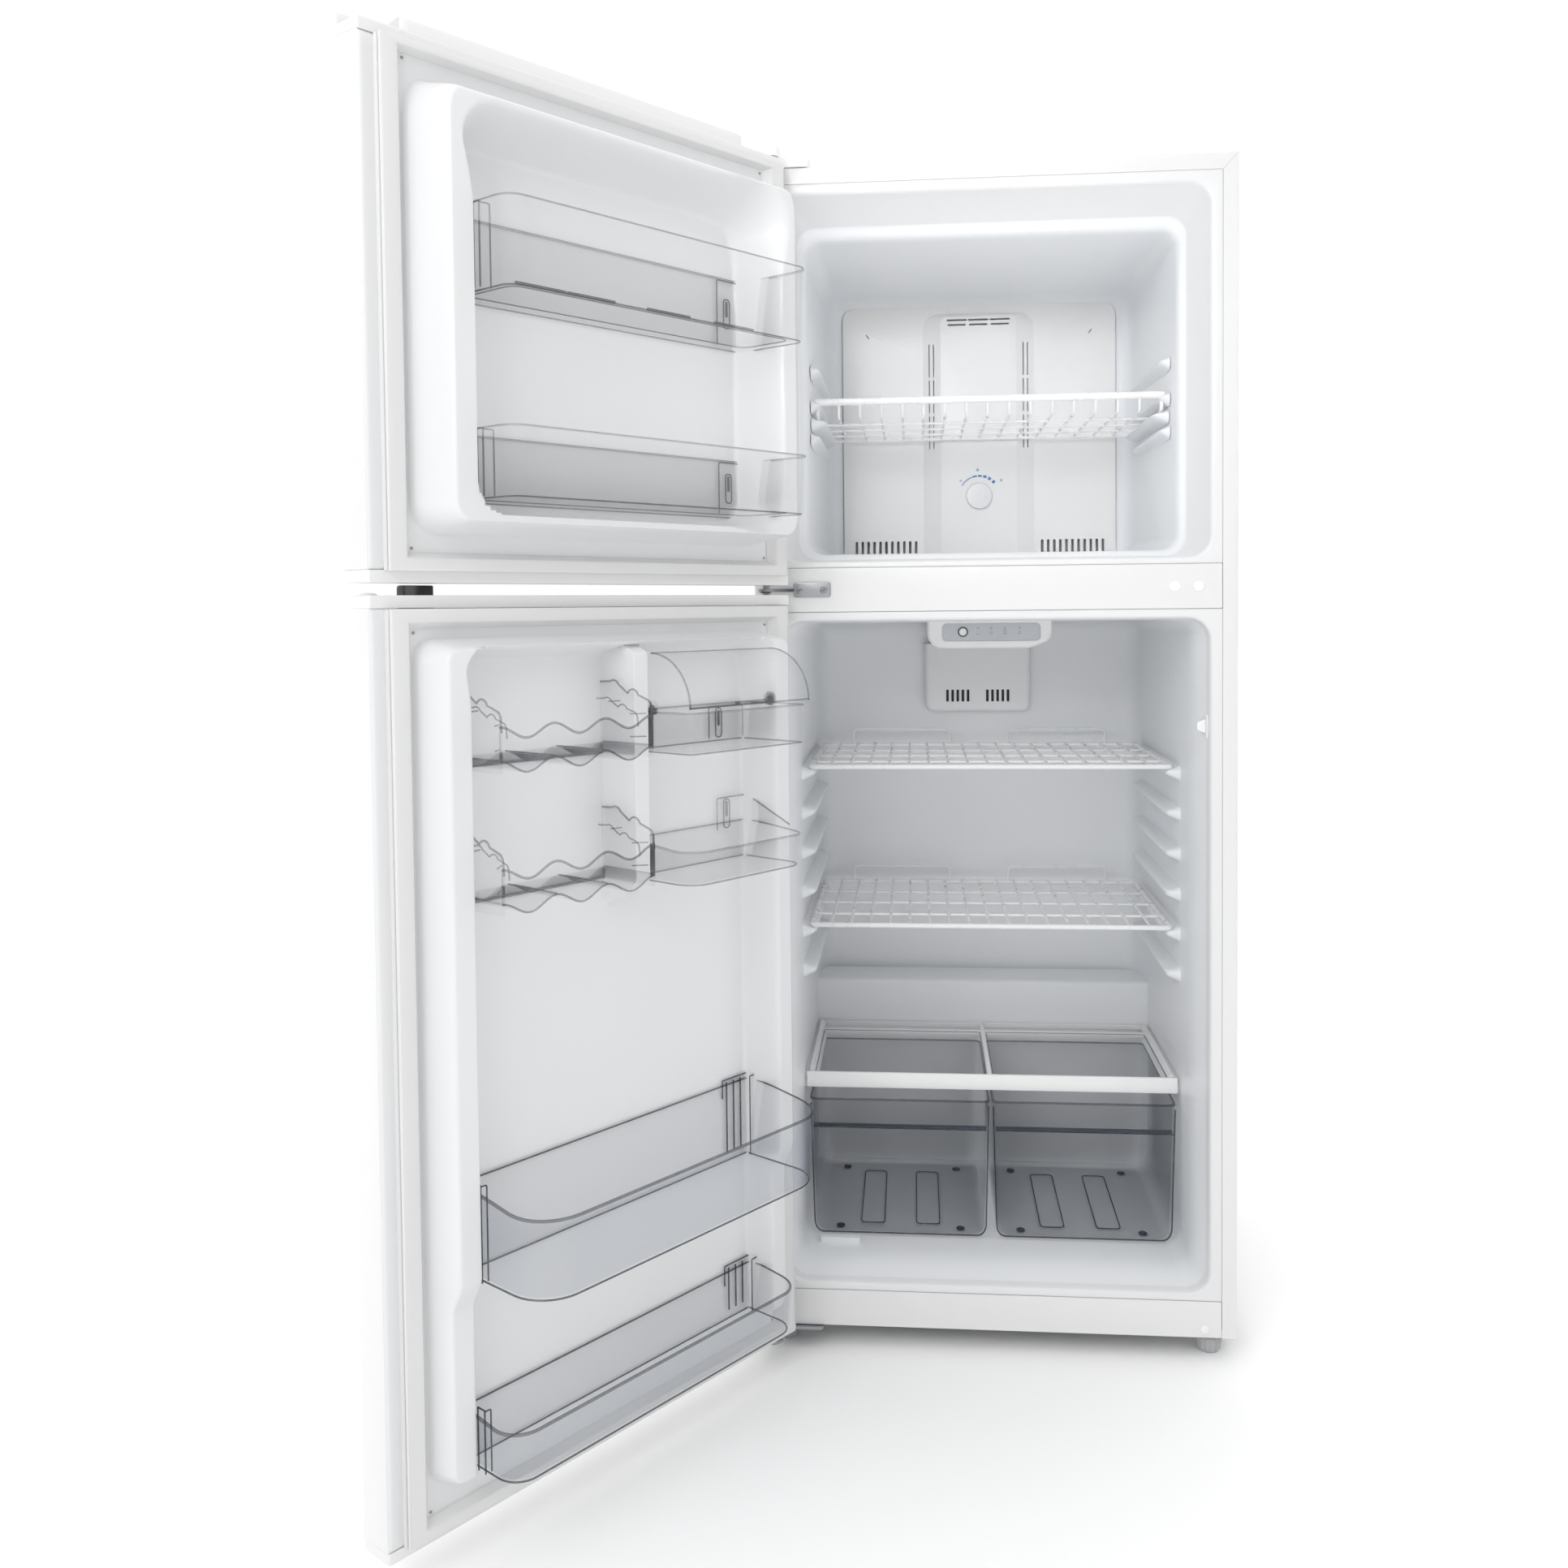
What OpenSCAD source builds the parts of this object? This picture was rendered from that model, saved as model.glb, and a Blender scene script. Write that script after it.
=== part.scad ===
// Top freezer refrigerator, 600 mm wide, shown with both doors swung open.
// Millimetres, +Z up. The cabinet's front face looks along -Y and its hinge side is -X.
// The origin is the middle of the front right levelling foot's underside, on the floor.

/* [Cabinet] */
// Width of the cabinet over its side panels
cabinet_w = 600; // [590:1:610]
// Depth of the cabinet from its front face to its back panel
cabinet_d = 560; // [555:1:590]
// Height of the cabinet's top above the floor
cabinet_top = 1503; // [1500:1:1530]
// Height of the cabinet's underside above the floor
cabinet_bottom = 28; // [28:1:30]
// Thickness of the outer sheet steel
sheet = 1.2; // [1:0.1:1.5]
// Thickness of the plastic liners
liner_t = 2; // [1.5:0.1:2.2]

/* [Doors] */
// How far both doors stand open
open_deg = 126; // [95:1:134]
// Thickness of a door from its outer face to its inner face
door_t = 48; // [44:1:50]
// Gap between the closed door's inner face and the cabinet
door_gap = 12; // [12:0.5:13]
// Depth of the large bottle bin
large_bin_d = 118; // [100:1:118]
// Depth of the two freezer door bins
freezer_bin_d = 98; // [80:1:98]

/* [Compartments] */
// Height of the upper fridge shelf's supports
shelf_rib_top = 732; // [728:1:736]
// Distance from one pair of shelf supports to the next
rib_pitch = 54; // [52:1:54]
// Wires along each fridge shelf
shelf_wires = 17; // [9:1:21]
// Height of the crisper drawers
crisper_h = 190; // [170:1:190]

/* [Hidden] */
$fn = 48;

// Cut that reaches a little past a face, and the running gap between moving plastic pieces
eps = 1;
run = 0.4;

// Cabinet
half_w = cabinet_w / 2;
in_w = half_w - sheet;
foot_x = half_w - 30;
foot_y = 30;
flange_x = half_w - 19;
flange_top = cabinet_top - 21;
mouth_x = half_w - 34;

// Freezer compartment
fz_bottom = 1010;
fz_top = flange_top - 15;
fz_step = 54;
fz_in_x = mouth_x - 36;
fz_in_bottom = 1021;
fz_in_top = fz_top - 51;
rear_y = 477;
fz_ribs = [1267, 1221, 1178];
fz_shelf_z = 1202;
fz_shelf_y = 103;
fz_shelf_x = 224;
fz_rail_up = 22;
rib_front = 101;
fz_rib_back = 8;

// Evaporator space behind the freezer's rear cover
cover_x = 204;
cover_y = 385;
cover_top = fz_in_top - 12;
cover_t = 3;
fz_wall_y = cover_y + 4;
recess_x = cover_x + 1;
duct_half = 56;
duct_wide = 82;
duct_y = cover_y - 10;
fan_z = 1310;
fan_r = 50;
knob_z = 1117;

// Fridge compartment
fr_bottom = 85;
fr_top = 934;
fr_step = 20;
fr_in_x = mouth_x - 14;
fr_in_bottom = 97;
fr_in_top = fr_top - 2;
hump_y = 392;
hump_top = 378;
rib_t = 8;
rib_y = 124;
rib_reach = 17;
shelf_y = 128;
shelf_back = 448;
shelf_x = 240;
shelf_r = 3.5;
cover_rib_top = 305.6;
crisper_top = 287.5;
crisper_y = 108;
drawer_draft = 9;
crisper_back = 386;

// Rails
mullion_low = 946;
mullion_high = 1002;
rail_top = 75;

// Compressor bay at the lower back
bay_y = 430;
bay_top = 310;
comp_y = 496;
roller_x = 240;
roller_y = 522;
roller_r = 13.5;

// Doors, in their closed place
fz_door_z = [980, 1502];
fr_door_z = [38, 968];
cap_h = 12;
skin = 1;
door_in = -door_gap;
door_out = -door_gap - door_t;
hinge_x = -half_w + 18;
hinge_y = -36;
pin_r = 4;
bore_r = 4.06;
ridge_in = mouth_x - 49;
ridge_out = mouth_x - 12;
ridge_y = 34;
fz_ridge_y = 50;
fz_ridge_in = ridge_in + 1;
bin_back = door_in + 1;
bin_t = 2.4;
bin_x = ridge_in - 3;
fz_bin_x = 216;
dairy_x = [3 - bin_x, -20.5];
lid_y = 32;
lid_z = 846;
lid_r = 60;
rack_in = 14;
rack_d = 70;
handle_x = 203;
handle_w = 28;

// ---- helpers ----

// Moves the cabinet's own frame, centred on its width, to the part's origin at the right foot.
module place() {
    translate([-foot_x, -foot_y, 0]) children();
}

// Swings a door piece about the hinge line from its closed place to its open one.
module swung() {
    translate([hinge_x - foot_x, hinge_y - foot_y, 0])
        rotate([0, 0, -open_deg])
            translate([-hinge_x, -hinge_y, 0])
                children();
}

module box(x, y, z) {
    translate([x[0], y[0], z[0]]) cube([x[1] - x[0], y[1] - y[0], z[1] - z[0]]);
}

// Rectangle with four round corners.
module round_rect(a, b, r) {
    translate([a[0] + r, b[0]]) square([a[1] - a[0] - 2 * r, b[1] - b[0]]);
    translate([a[0], b[0] + r]) square([a[1] - a[0], b[1] - b[0] - 2 * r]);
    for (p = [a[0] + r, a[1] - r], q = [b[0] + r, b[1] - r])
        translate([p, q]) circle(r);
}

// Rectangle whose two far corners, at the high end of b, are round.
module far_round(a, b, r) {
    translate([a[0] + r, b[0]]) square([a[1] - a[0] - 2 * r, b[1] - b[0]]);
    translate([a[0], b[0]]) square([a[1] - a[0], b[1] - b[0] - r]);
    for (p = [a[0] + r, a[1] - r])
        translate([p, b[1] - r]) circle(r);
}

// Extrudes an outline drawn in X and Z along Y.
module along_y(y) {
    translate([0, y[1], 0]) rotate([90, 0, 0]) linear_extrude(y[1] - y[0]) children();
}

// Extrudes an outline drawn in Y and Z along X.
module along_x(x) {
    translate([x[0], 0, 0]) rotate([90, 0, 90]) linear_extrude(x[1] - x[0]) children();
}

// Block with round corners seen from the front.
module face_block(x, y, z, r) {
    along_y(y) round_rect(x, z, r);
}

// Round rod between two points that differ along one axis.
module rod_x(x, y, z, r) {
    translate([x[0], y, z]) rotate([0, 90, 0]) cylinder(h = x[1] - x[0], r = r);
}

module rod_y(x, y, z, r) {
    translate([x, y[0], z]) rotate([-90, 0, 0]) cylinder(h = y[1] - y[0], r = r);
}

module rod_z(x, y, z, r) {
    translate([x, y, z[0]]) cylinder(h = z[1] - z[0], r = r);
}

// ---- cabinet ----

module outer_shell() place() color("whitesmoke") {
    difference() {
        box([-half_w, half_w], [0, cabinet_d], [cabinet_bottom, cabinet_top]);
        box([-in_w, in_w], [sheet, cabinet_d + eps], [cabinet_bottom - eps, cabinet_top - sheet]);
        box([-flange_x, flange_x], [-eps, sheet + eps], [cabinet_bottom - eps, flange_top]);
    }
}

module back_panel() place() color("gainsboro") {
    box([-in_w, in_w], [cabinet_d - sheet, cabinet_d], [bay_top, cabinet_top - sheet]);
}

// Side outline of the bottom sheet: floor, wall and roof of the compressor bay.
module base_outline(grow) {
    y0 = 22;
    polygon([[y0, cabinet_bottom], [bay_y, cabinet_bottom], [bay_y, bay_top],
        [cabinet_d - sheet, bay_top], [cabinet_d - sheet, bay_top + grow],
        [bay_y - grow, bay_top + grow], [bay_y - grow, cabinet_bottom + grow],
        [y0, cabinet_bottom + grow]]);
}

// The bottom sheet with the shelf that carries the compressor and the rear rollers' forks.
module base_panel() place() color("silver") {
    along_x([-in_w, in_w]) base_outline(sheet);
    box([-in_w, in_w], [bay_y, cabinet_d - 2], [cabinet_bottom, cabinet_bottom + 2]);
    for (s = [-1, 1]) {
        for (e = [-1, 1])
            box([s * roller_x + e * 13 - 1, s * roller_x + e * 13 + 1], [510, 534], [8, cabinet_bottom]);
        rod_x([s * roller_x - 14, s * roller_x + 14], roller_y, roller_r, 3);
    }
}

// Space taken out of the foam by the freezer liner, or with inset by its cavity.
module freezer_space(inset) {
    face_block([-mouth_x - liner_t + inset, mouth_x + liner_t - inset],
        [inset > 0 ? -eps : 0, fz_step + (inset > 0 ? 0 : liner_t)],
        [fz_bottom - liner_t + inset, fz_top + liner_t - inset], 27 - inset);
    face_block([-fz_in_x - liner_t + inset, fz_in_x + liner_t - inset],
        [fz_step - eps, fz_wall_y + (inset > 0 ? 0 : liner_t)],
        [fz_in_bottom - liner_t + inset, fz_in_top + liner_t - inset], 22 - inset);
    box([-recess_x - liner_t + inset, recess_x + liner_t - inset],
        [cover_y, rear_y + (inset > 0 ? 0 : liner_t)],
        [fz_in_bottom - liner_t + inset, cover_top + 1 + liner_t - inset]);
}

module fridge_space(inset) {
    face_block([-mouth_x - liner_t + inset, mouth_x + liner_t - inset],
        [inset > 0 ? -eps : 0, fr_step + (inset > 0 ? 0 : liner_t)],
        [fr_bottom - liner_t + inset, fr_top + liner_t - inset], 27 - inset);
    difference() {
        face_block([-fr_in_x - liner_t + inset, fr_in_x + liner_t - inset],
            [fr_step - eps, rear_y + (inset > 0 ? 0 : liner_t)],
            [fr_in_bottom - liner_t + inset, fr_in_top + liner_t - inset], 22 - inset);
        box([-half_w, half_w], [hump_y + liner_t - inset, rear_y + 10],
            [cabinet_bottom, hump_top - liner_t + inset]);
    }
}

module cabinet_foam() place() color("khaki") {
    difference() {
        box([-in_w, in_w], [sheet, cabinet_d - sheet], [cabinet_bottom + sheet, cabinet_top - sheet]);
        box([-half_w, half_w], [bay_y - sheet, cabinet_d], [0, bay_top + sheet]);
        freezer_space(0);
        fridge_space(0);
        box([-flange_x, flange_x], [0, liner_t], [rail_top, flange_top]);
        mullion_body();
        bottom_rail_body();
    }
}

module side_ribs(half, reach, y, tops, t) {
    for (z = tops, s = [-1, 1])
        box(s > 0 ? [half - reach, half + eps] : [-half - eps, reach - half], y, [z - t, z]);
}

module freezer_liner() place() color("white") {
    difference() {
        union() {
            box([-flange_x, flange_x], [0, liner_t], [mullion_high, flange_top]);
            freezer_space(0);
        }
        freezer_space(liner_t);
    }
    side_ribs(fz_in_x, 10, [rib_front + fz_rib_back, 372], fz_ribs, 5);
    side_ribs(fz_in_x, 17, [rib_front, 372], [fz_shelf_z - 2.9], 5);
}

module fridge_liner() place() color("white") {
    difference() {
        union() {
            box([-flange_x, flange_x], [0, liner_t], [rail_top, mullion_low]);
            fridge_space(0);
        }
        fridge_space(liner_t);
    }
    tops = [for (i = [0:5]) shelf_rib_top - i * rib_pitch];
    side_ribs(fr_in_x, rib_reach, [rib_y, 440], tops, rib_t);
    side_ribs(fr_in_x, rib_reach - 1, [rib_y + 8, hump_y], [cover_rib_top], 6);
}

module mullion_body() {
    box([-flange_x, flange_x], [0, sheet], [mullion_low, mullion_high]);
    box([-flange_x, flange_x], [0, 14], [mullion_low, mullion_low + sheet]);
    box([-flange_x, flange_x], [0, 14], [mullion_high - sheet, mullion_high]);
}

module mullion_rail() place() color("white") mullion_body();

module bottom_rail_body() {
    box([-flange_x, flange_x], [0, sheet], [cabinet_bottom, rail_top]);
    box([-flange_x, flange_x], [0, 22], [cabinet_bottom, cabinet_bottom + sheet]);
}

module bottom_rail() place() color("white") bottom_rail_body();

// Blanking plugs over the unused hinge holes on the free side.
module hole_plugs() place() color("ghostwhite") {
    rod_y(flange_x - 58, [-1.6, 0], 974, 7);
    rod_y(flange_x - 29, [-1.6, 0], 974, 7);
    rod_y(flange_x - 21, [-1.2, 0], 39, 5.5);
}

// ---- hinges ----

module top_hinge() place() color("silver") {
    z = cabinet_top;
    translate([0, 0, z]) linear_extrude(4) {
        round_rect([hinge_x - 13, hinge_x + 50], [4, 58], 6);
        translate([hinge_x - 12, hinge_y]) square([24, 50]);
        translate([hinge_x, hinge_y]) circle(12);
    }
    rod_z(hinge_x, hinge_y, [z - 11, z], pin_r);
}

module top_hinge_cover() place() color("white") {
    z = cabinet_top;
    difference() {
        translate([0, 0, z]) linear_extrude(17) cover_outline(0);
        translate([0, 0, z - eps]) linear_extrude(16) cover_outline(1.6);
    }
}

module cover_outline(inset) {
    round_rect([hinge_x - 17 + inset, hinge_x + 56 - inset], [inset - 2, 66 - inset], 9 - inset);
    round_rect([hinge_x - 17 + inset, hinge_x + 22 - inset], [hinge_y - 17 + inset, 20], 9 - inset);
}

module middle_hinge() place() color("silver") {
    zc = (fz_door_z[0] + fr_door_z[1]) / 2;
    difference() {
        box([-250, -203], [-2.5, 0], [zc - 9, zc + 10]);
        for (x = [-243, -212])
            rod_y(x, [-5, 5], zc, 2.6);
    }
    translate([0, 0, zc - 2]) linear_extrude(4) {
        polygon([[-249, 0], [-249, -2.5], [hinge_x + 9, hinge_y - 4], [hinge_x, hinge_y - 10],
            [hinge_x - 9, hinge_y + 4], [-262, -2.5], [-262, 0]]);
        translate([hinge_x, hinge_y]) circle(10);
    }
    rod_z(hinge_x, hinge_y, [zc - 14, zc + 14], pin_r);
}

module bottom_hinge() place() color("silver") {
    z = cabinet_bottom;
    translate([0, 0, z - 4]) linear_extrude(4) {
        round_rect([hinge_x - 14, hinge_x + 62], [-6, 14], 5);
        translate([hinge_x - 12, hinge_y]) square([24, 46]);
        translate([hinge_x, hinge_y]) circle(12);
    }
    rod_z(hinge_x, hinge_y, [z, fr_door_z[0] - 1], 8);
    rod_z(hinge_x, hinge_y, [z, fr_door_z[0] + 10], pin_r);
}

module hinge_screws() place() color("lightgrey") {
    zc = (fz_door_z[0] + fr_door_z[1]) / 2;
    for (x = [-243, -212]) {
        rod_y(x, [-4.8, -2.5], zc, 4.5);
        rod_y(x, [-2.5, 0], zc, 2.5);
    }
    for (p = [[hinge_x + 6, 46], [hinge_x + 40, 46], [hinge_x + 40, 16]])
        rod_z(p[0], p[1], [cabinet_top + 4, cabinet_top + 7], 4.5);
    for (x = [hinge_x + 22, hinge_x + 52])
        rod_z(x, 4, [cabinet_bottom - 7, cabinet_bottom - 4], 4.5);
}

// ---- freezer cooling ----

module evaporator_cover() place() color("white") {
    difference() {
        union() {
            face_block([-cover_x, cover_x], [cover_y, rear_y], [fz_in_bottom, cover_top], 20);
            box([-cover_x, cover_x], [cover_y, rear_y], [fz_in_bottom, fz_in_bottom + 22]);
            duct_bulge(0);
        }
        face_block([-cover_x + cover_t, cover_x - cover_t], [cover_y + cover_t, rear_y + eps],
            [fz_in_bottom - 30, cover_top - cover_t], 18);
        duct_bulge(cover_t);
        cover_slots();
        rod_y(0, [duct_y - eps, cover_y], knob_z, 3.05);
    }
}

// Flat-topped swelling down the middle of the rear cover, with slanted flanks.
module duct_bulge(inset) {
    z = [fz_in_bottom - (inset > 0 ? eps : 0), cover_top - 18 - inset];
    translate([0, 0, z[0]]) linear_extrude(z[1] - z[0])
        polygon([[-duct_wide + inset, cover_y + 2], [-duct_half + inset, duct_y + inset],
            [duct_half - inset, duct_y + inset], [duct_wide - inset, cover_y + 2],
            [duct_wide - inset, cover_y + cover_t + 1], [-duct_wide + inset, cover_y + cover_t + 1]]);
}

module cover_slots() {
    for (row = [0, 1], c = [-1, 0, 1])
        box([c * 34 - 15, c * 34 + 15], [duct_y - eps, cover_y], [1374 - row * 8, 1378 - row * 8]);
    for (s = [-1, 1], i = [0:2])
        box([s * 70 - 3, s * 70 + 3], [duct_y - 4, cover_y + 6], [1196 + i * 52, 1240 + i * 52]);
    for (s = [-1, 1], i = [0:10])
        box([s * 139.5 - 47 + i * 9, s * 139.5 - 43 + i * 9], [cover_y - eps, cover_y + 6], [1027, 1052]);
}

module evaporator_coil() place() color("silver") {
    y = [412, 456];
    for (i = [0:15])
        box([-150 + i * 20 - 0.5, -150 + i * 20 + 0.5], y, [1075, 1215]);
    for (row = [0, 1], k = [0:3])
        rod_x([-165, 165], 424 + row * 20, 1092 + k * 35, 4);
}

module fan_motor() place() color("dimgray") {
    rod_y(0, [452, rear_y], fan_z, 26);
    rod_y(0, [428, 452], fan_z, 3);
}

module fan_blade() place() color("lightgrey") {
    difference() {
        union() {
            rod_y(0, [428, 448], fan_z, 15);
            for (a = [0:72:288])
                translate([0, 438, fan_z]) rotate([0, a, 0]) translate([12, 0, 0])
                    rotate([35, 0, 0]) translate([0, -1, -11]) cube([fan_r - 14, 2, 22]);
        }
        rod_y(0, [420, 460], fan_z, 3.05);
    }
}

module temperature_knob() place() color("lightsteelblue") {
    rod_y(0, [duct_y - 8, duct_y - run], knob_z, 20);
    rod_y(0, [duct_y - run, duct_y + 8], knob_z, 3);
}

// ---- fridge fittings ----

module air_duct_cover() place() color("white") {
    y = [456, rear_y];
    difference() {
        face_block([-82, 82], y, [786, 893], 12);
        face_block([-79, 79], [y[0] + 3, y[1] + eps], [789, 890], 9);
        for (s = [-1, 1], i = [0:4])
            box([s * 31 - 17 + i * 8, s * 31 - 13 + i * 8], [y[0] - eps, y[0] + 4], [802, 820]);
    }
}

module control_housing() place() color("white") {
    y = [200, rear_y];
    difference() {
        along_y(y) polygon([[-62, 893], [66, 893], [92, 905], [92, fr_in_top], [-80, fr_in_top],
            [-80, 905]]);
        along_y([y[0] + 3, y[1] + eps]) polygon([[-60, 896], [64, 896], [88, 907],
            [88, fr_in_top - 3], [-77, fr_in_top - 3], [-77, 907]]);
        face_block([-62, 78], [y[0] - eps, y[0] + 1], [903, 929], 6);
        rod_y(-31, [y[0] - eps, y[0] + 5], 916, 5.7);
    }
}

module control_button() place() color("whitesmoke") {
    rod_y(-31, [198, 206], 916, 5.3);
}

module light_switch_lever() place() color("white") {
    rod_z(mouth_x - 4.5, 15.5, [790, 808], 3);
    box([mouth_x - 13.5, mouth_x - 4.5], [14, 17], [790, 808]);
}

// ---- machine compartment ----

module compressor() place() color("dimgray") {
    translate([-110, comp_y, 0]) rotate_extrude($fn = 64)
        polygon(concat([[0, 44]], [for (a = [-90:15:90]) [40 + 18 * cos(a), 62 + 18 * sin(a)]],
            [for (a = [0:15:90]) [58 * cos(a), 150 + 34 * sin(a)]], [[0, 184]]));
    box([-185, -35], [comp_y - 54, comp_y + 54], [41, 45]);
    for (x = [-175, -45], y = [comp_y - 44, comp_y + 44])
        rod_z(x, y, [cabinet_bottom + 2, 41], 8);
    box([-58, -26], [comp_y - 24, comp_y + 24], [90, 140]);
}

// Half ring of tube that joins two level runs at one end.
module tube_bend(side, x, y, z, r) {
    intersection() {
        translate([side * x, y, z]) rotate([90, 0, 0]) rotate_extrude() translate([r, 0]) circle(2.5);
        box(side > 0 ? [x, x + r + 5] : [-x - r - 5, -x], [y - 5, y + 5], [z - r - 5, z + r + 5]);
    }
}

// Steel tube folded to and fro behind the cabinet, with wires welded down both sides of it.
module condenser() place() color("darkslategray") {
    y = cabinet_d + 16;
    z0 = 420;
    pitch = 90;
    passes = 10;
    for (i = [0:passes - 1])
        rod_x([-215, 215], y, z0 + i * pitch, 2.5);
    for (i = [0:passes - 2])
        tube_bend(i % 2 == 0 ? 1 : -1, 215, y, z0 + (i + 0.5) * pitch, pitch / 2);
    for (x = [-200:40:200])
        rod_z(x, y + 3, [z0 - 20, z0 + (passes - 1) * pitch + 20], 1);
    for (x = [-180, 180], z = [z0, z0 + (passes - 1) * pitch])
        box([x - 8, x + 8], [cabinet_d, y + 5], [z - 8, z + 8]);
}

module cord_gland() place() color("black") {
    rod_y(200, [bay_y, bay_y + 6], 120, 13);
    rod_y(200, [bay_y + 6, bay_y + 22], 120, 8);
}

module roller(x) {
    difference() {
        rod_x([x - 11, x + 11], roller_y, roller_r, roller_r);
        rod_x([x - 12, x + 12], roller_y, roller_r, 3.05);
    }
}

module roller_left() place() color("dimgray") roller(-roller_x);

module roller_right() place() color("dimgray") roller(roller_x);

// Levelling foot: a tapered, ribbed pad on a threaded stem.
module foot(x) {
    translate([x, foot_y, 0]) {
        cylinder(h = 20, r1 = 13, r2 = 15.5);
        cylinder(h = cabinet_bottom - run, r = 5);
        for (a = [0:30:330])
            rotate([0, 0, a]) translate([12.5, -1, 3]) cube([4, 2, 16]);
    }
}

module foot_left() place() color("grey") foot(-foot_x);

module foot_right() place() color("grey") foot(foot_x);

// ---- shelves and crispers ----

// Wire shelf: rods around the edge, thin wires from front to back and three cross wires.
module wire_shelf(x, y, z, r, wires) {
    rod_x([-x, x], y[0], z, r);
    rod_x([-x, x], y[1], z, r);
    for (s = [-1, 1])
        rod_y(s * x, y, z, r);
    pitch = 2 * x / (wires + 1);
    for (i = [1:wires])
        rod_y(i * pitch - x, y, z, 1.6);
    for (k = [1:3])
        rod_x([-x, x], y[0] + (y[1] - y[0]) * k / 4, z - r + 1.9, 1.8);
}

// Upright wire loops that stop food sliding off the back.
module rear_guards(z) {
    for (c = [-120, 120]) {
        for (e = [-1, 1])
            rod_z(c + e * 75, shelf_back, [z, z + 24], 1.8);
        rod_x([c - 75, c + 75], shelf_back, z + 24, 1.8);
    }
}

module freezer_shelf() place() color("white") {
    wire_shelf(fz_shelf_x, [fz_shelf_y, 368], fz_shelf_z, 2.5, 15);
    rod_x([-fz_shelf_x - 4, fz_shelf_x + 4], fz_shelf_y, fz_shelf_z + fz_rail_up, 4.8);
    for (i = [-2:2])
        rod_z(i * (fz_shelf_x / 2 - 2), fz_shelf_y, [fz_shelf_z, fz_shelf_z + fz_rail_up], 1.6);
}

module fridge_shelf(level) {
    z = shelf_rib_top - level * rib_pitch + shelf_r + 0.3;
    wire_shelf(shelf_x, [shelf_y, shelf_back], z, shelf_r, shelf_wires);
    rear_guards(z);
}

module fridge_shelf_upper() place() color("white") fridge_shelf(0);

module fridge_shelf_lower() place() color("white") fridge_shelf(4);

// White frame with a deep front rail and a middle rib, holding two panes.
module crisper_cover() place() color("white") {
    z = [cover_rib_top + 0.4, cover_rib_top + 8.4];
    x = fr_in_x - 6;
    difference() {
        union() {
            box([-x, x], [rib_y + 1, hump_y - 4], z);
            box([-x, x], [rib_y + 1, rib_y + 7], [z[0] - 9, z[1] + 2]);
        }
        for (s = [-1, 1])
            box(s > 0 ? [8, x - 12] : [12 - x, -8], [rib_y + 14, hump_y - 18], [z[0] - eps, z[1] + eps]);
        for (s = [-1, 1])
            box(s > 0 ? [5, x - 9] : [9 - x, -5], [rib_y + 11, hump_y - 15], [z[1] - 4, z[1] + eps]);
    }
}

module crisper_glass() place() color("lightblue", 0.5) {
    z1 = cover_rib_top + 8.4;
    x = fr_in_x - 6;
    for (s = [-1, 1])
        box(s > 0 ? [5, x - 9] : [9 - x, -5], [rib_y + 11, hump_y - 15], [z1 - 4, z1]);
}

// Front outline of a drawer: narrower at the floor than at the rim.
module drawer_front(x0, x1, z0, z1, draft) {
    polygon([[x0 + draft, z0], [x1 - draft, z0], [x1, z1], [x0, z1]]);
}

module drawer(x0, x1) {
    z0 = crisper_top - crisper_h;
    t = 2.5;
    difference() {
        intersection() {
            along_y([crisper_y, crisper_back]) drawer_front(x0, x1, z0, crisper_top, drawer_draft);
            along_x([x0, x1]) polygon([[crisper_y + 4, z0], [crisper_back - 6, z0],
                [crisper_back, crisper_top], [crisper_y, crisper_top]]);
        }
        intersection() {
            along_y([crisper_y, crisper_back])
                drawer_front(x0 + t, x1 - t, z0 + t, crisper_top + eps, drawer_draft);
            along_x([x0, x1]) polygon([[crisper_y + 4 + t, z0 + t], [crisper_back - 6 - t, z0 + t],
                [crisper_back - t, crisper_top + eps], [crisper_y + t, crisper_top + eps]]);
        }
    }
    box([x0 + 30, x1 - 30], [crisper_y - 10, crisper_y + 3], [crisper_top - 38, crisper_top - 35]);
}

module crisper_left() place() color("slategray", 0.6) drawer(-244, -1.5);

module crisper_right() place() color("slategray", 0.6) drawer(1.5, 244);

// ---- doors ----

// Door outline from above, with round outer corners.
module door_plan(inset) {
    r = 9;
    mirror([0, 1, 0]) far_round([-half_w + inset, half_w - inset],
        [-door_in + (inset > 0 ? -eps : 0), -door_out - inset], r - inset);
}

module door_panel(z) {
    translate([0, 0, z[0] + cap_h]) linear_extrude(z[1] - z[0] - 2 * cap_h)
        difference() {
            door_plan(0);
            door_plan(skin);
        }
}

module door_foam(z) {
    translate([0, 0, z[0] + cap_h]) linear_extrude(z[1] - z[0] - 2 * cap_h)
        difference() {
            door_plan(skin);
            translate([-half_w, door_in - liner_t]) square([2 * half_w, 10]);
        }
}

module door_cap(z, bore) {
    difference() {
        translate([0, 0, z[0]]) linear_extrude(z[1] - z[0]) door_plan(0);
        rod_z(hinge_x, hinge_y, bore, bore_r);
    }
}

module gasket(x_out, x_in, z_out, z_in) {
    y = [door_in, -run];
    difference() {
        box([-x_out, x_out], y, z_out);
        box([-x_in, x_in], [y[0] - eps, y[1] + eps], z_in);
    }
}

// Upright ridge on the inner side of a door, wider at its root.
module ridge(side, inner, y_top, z) {
    translate([0, 0, z[0]]) linear_extrude(z[1] - z[0])
        polygon([[side * inner, door_in], [side * (inner + 3), y_top],
            [side * (ridge_out - 10), y_top], [side * ridge_out, door_in]]);
}

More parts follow.
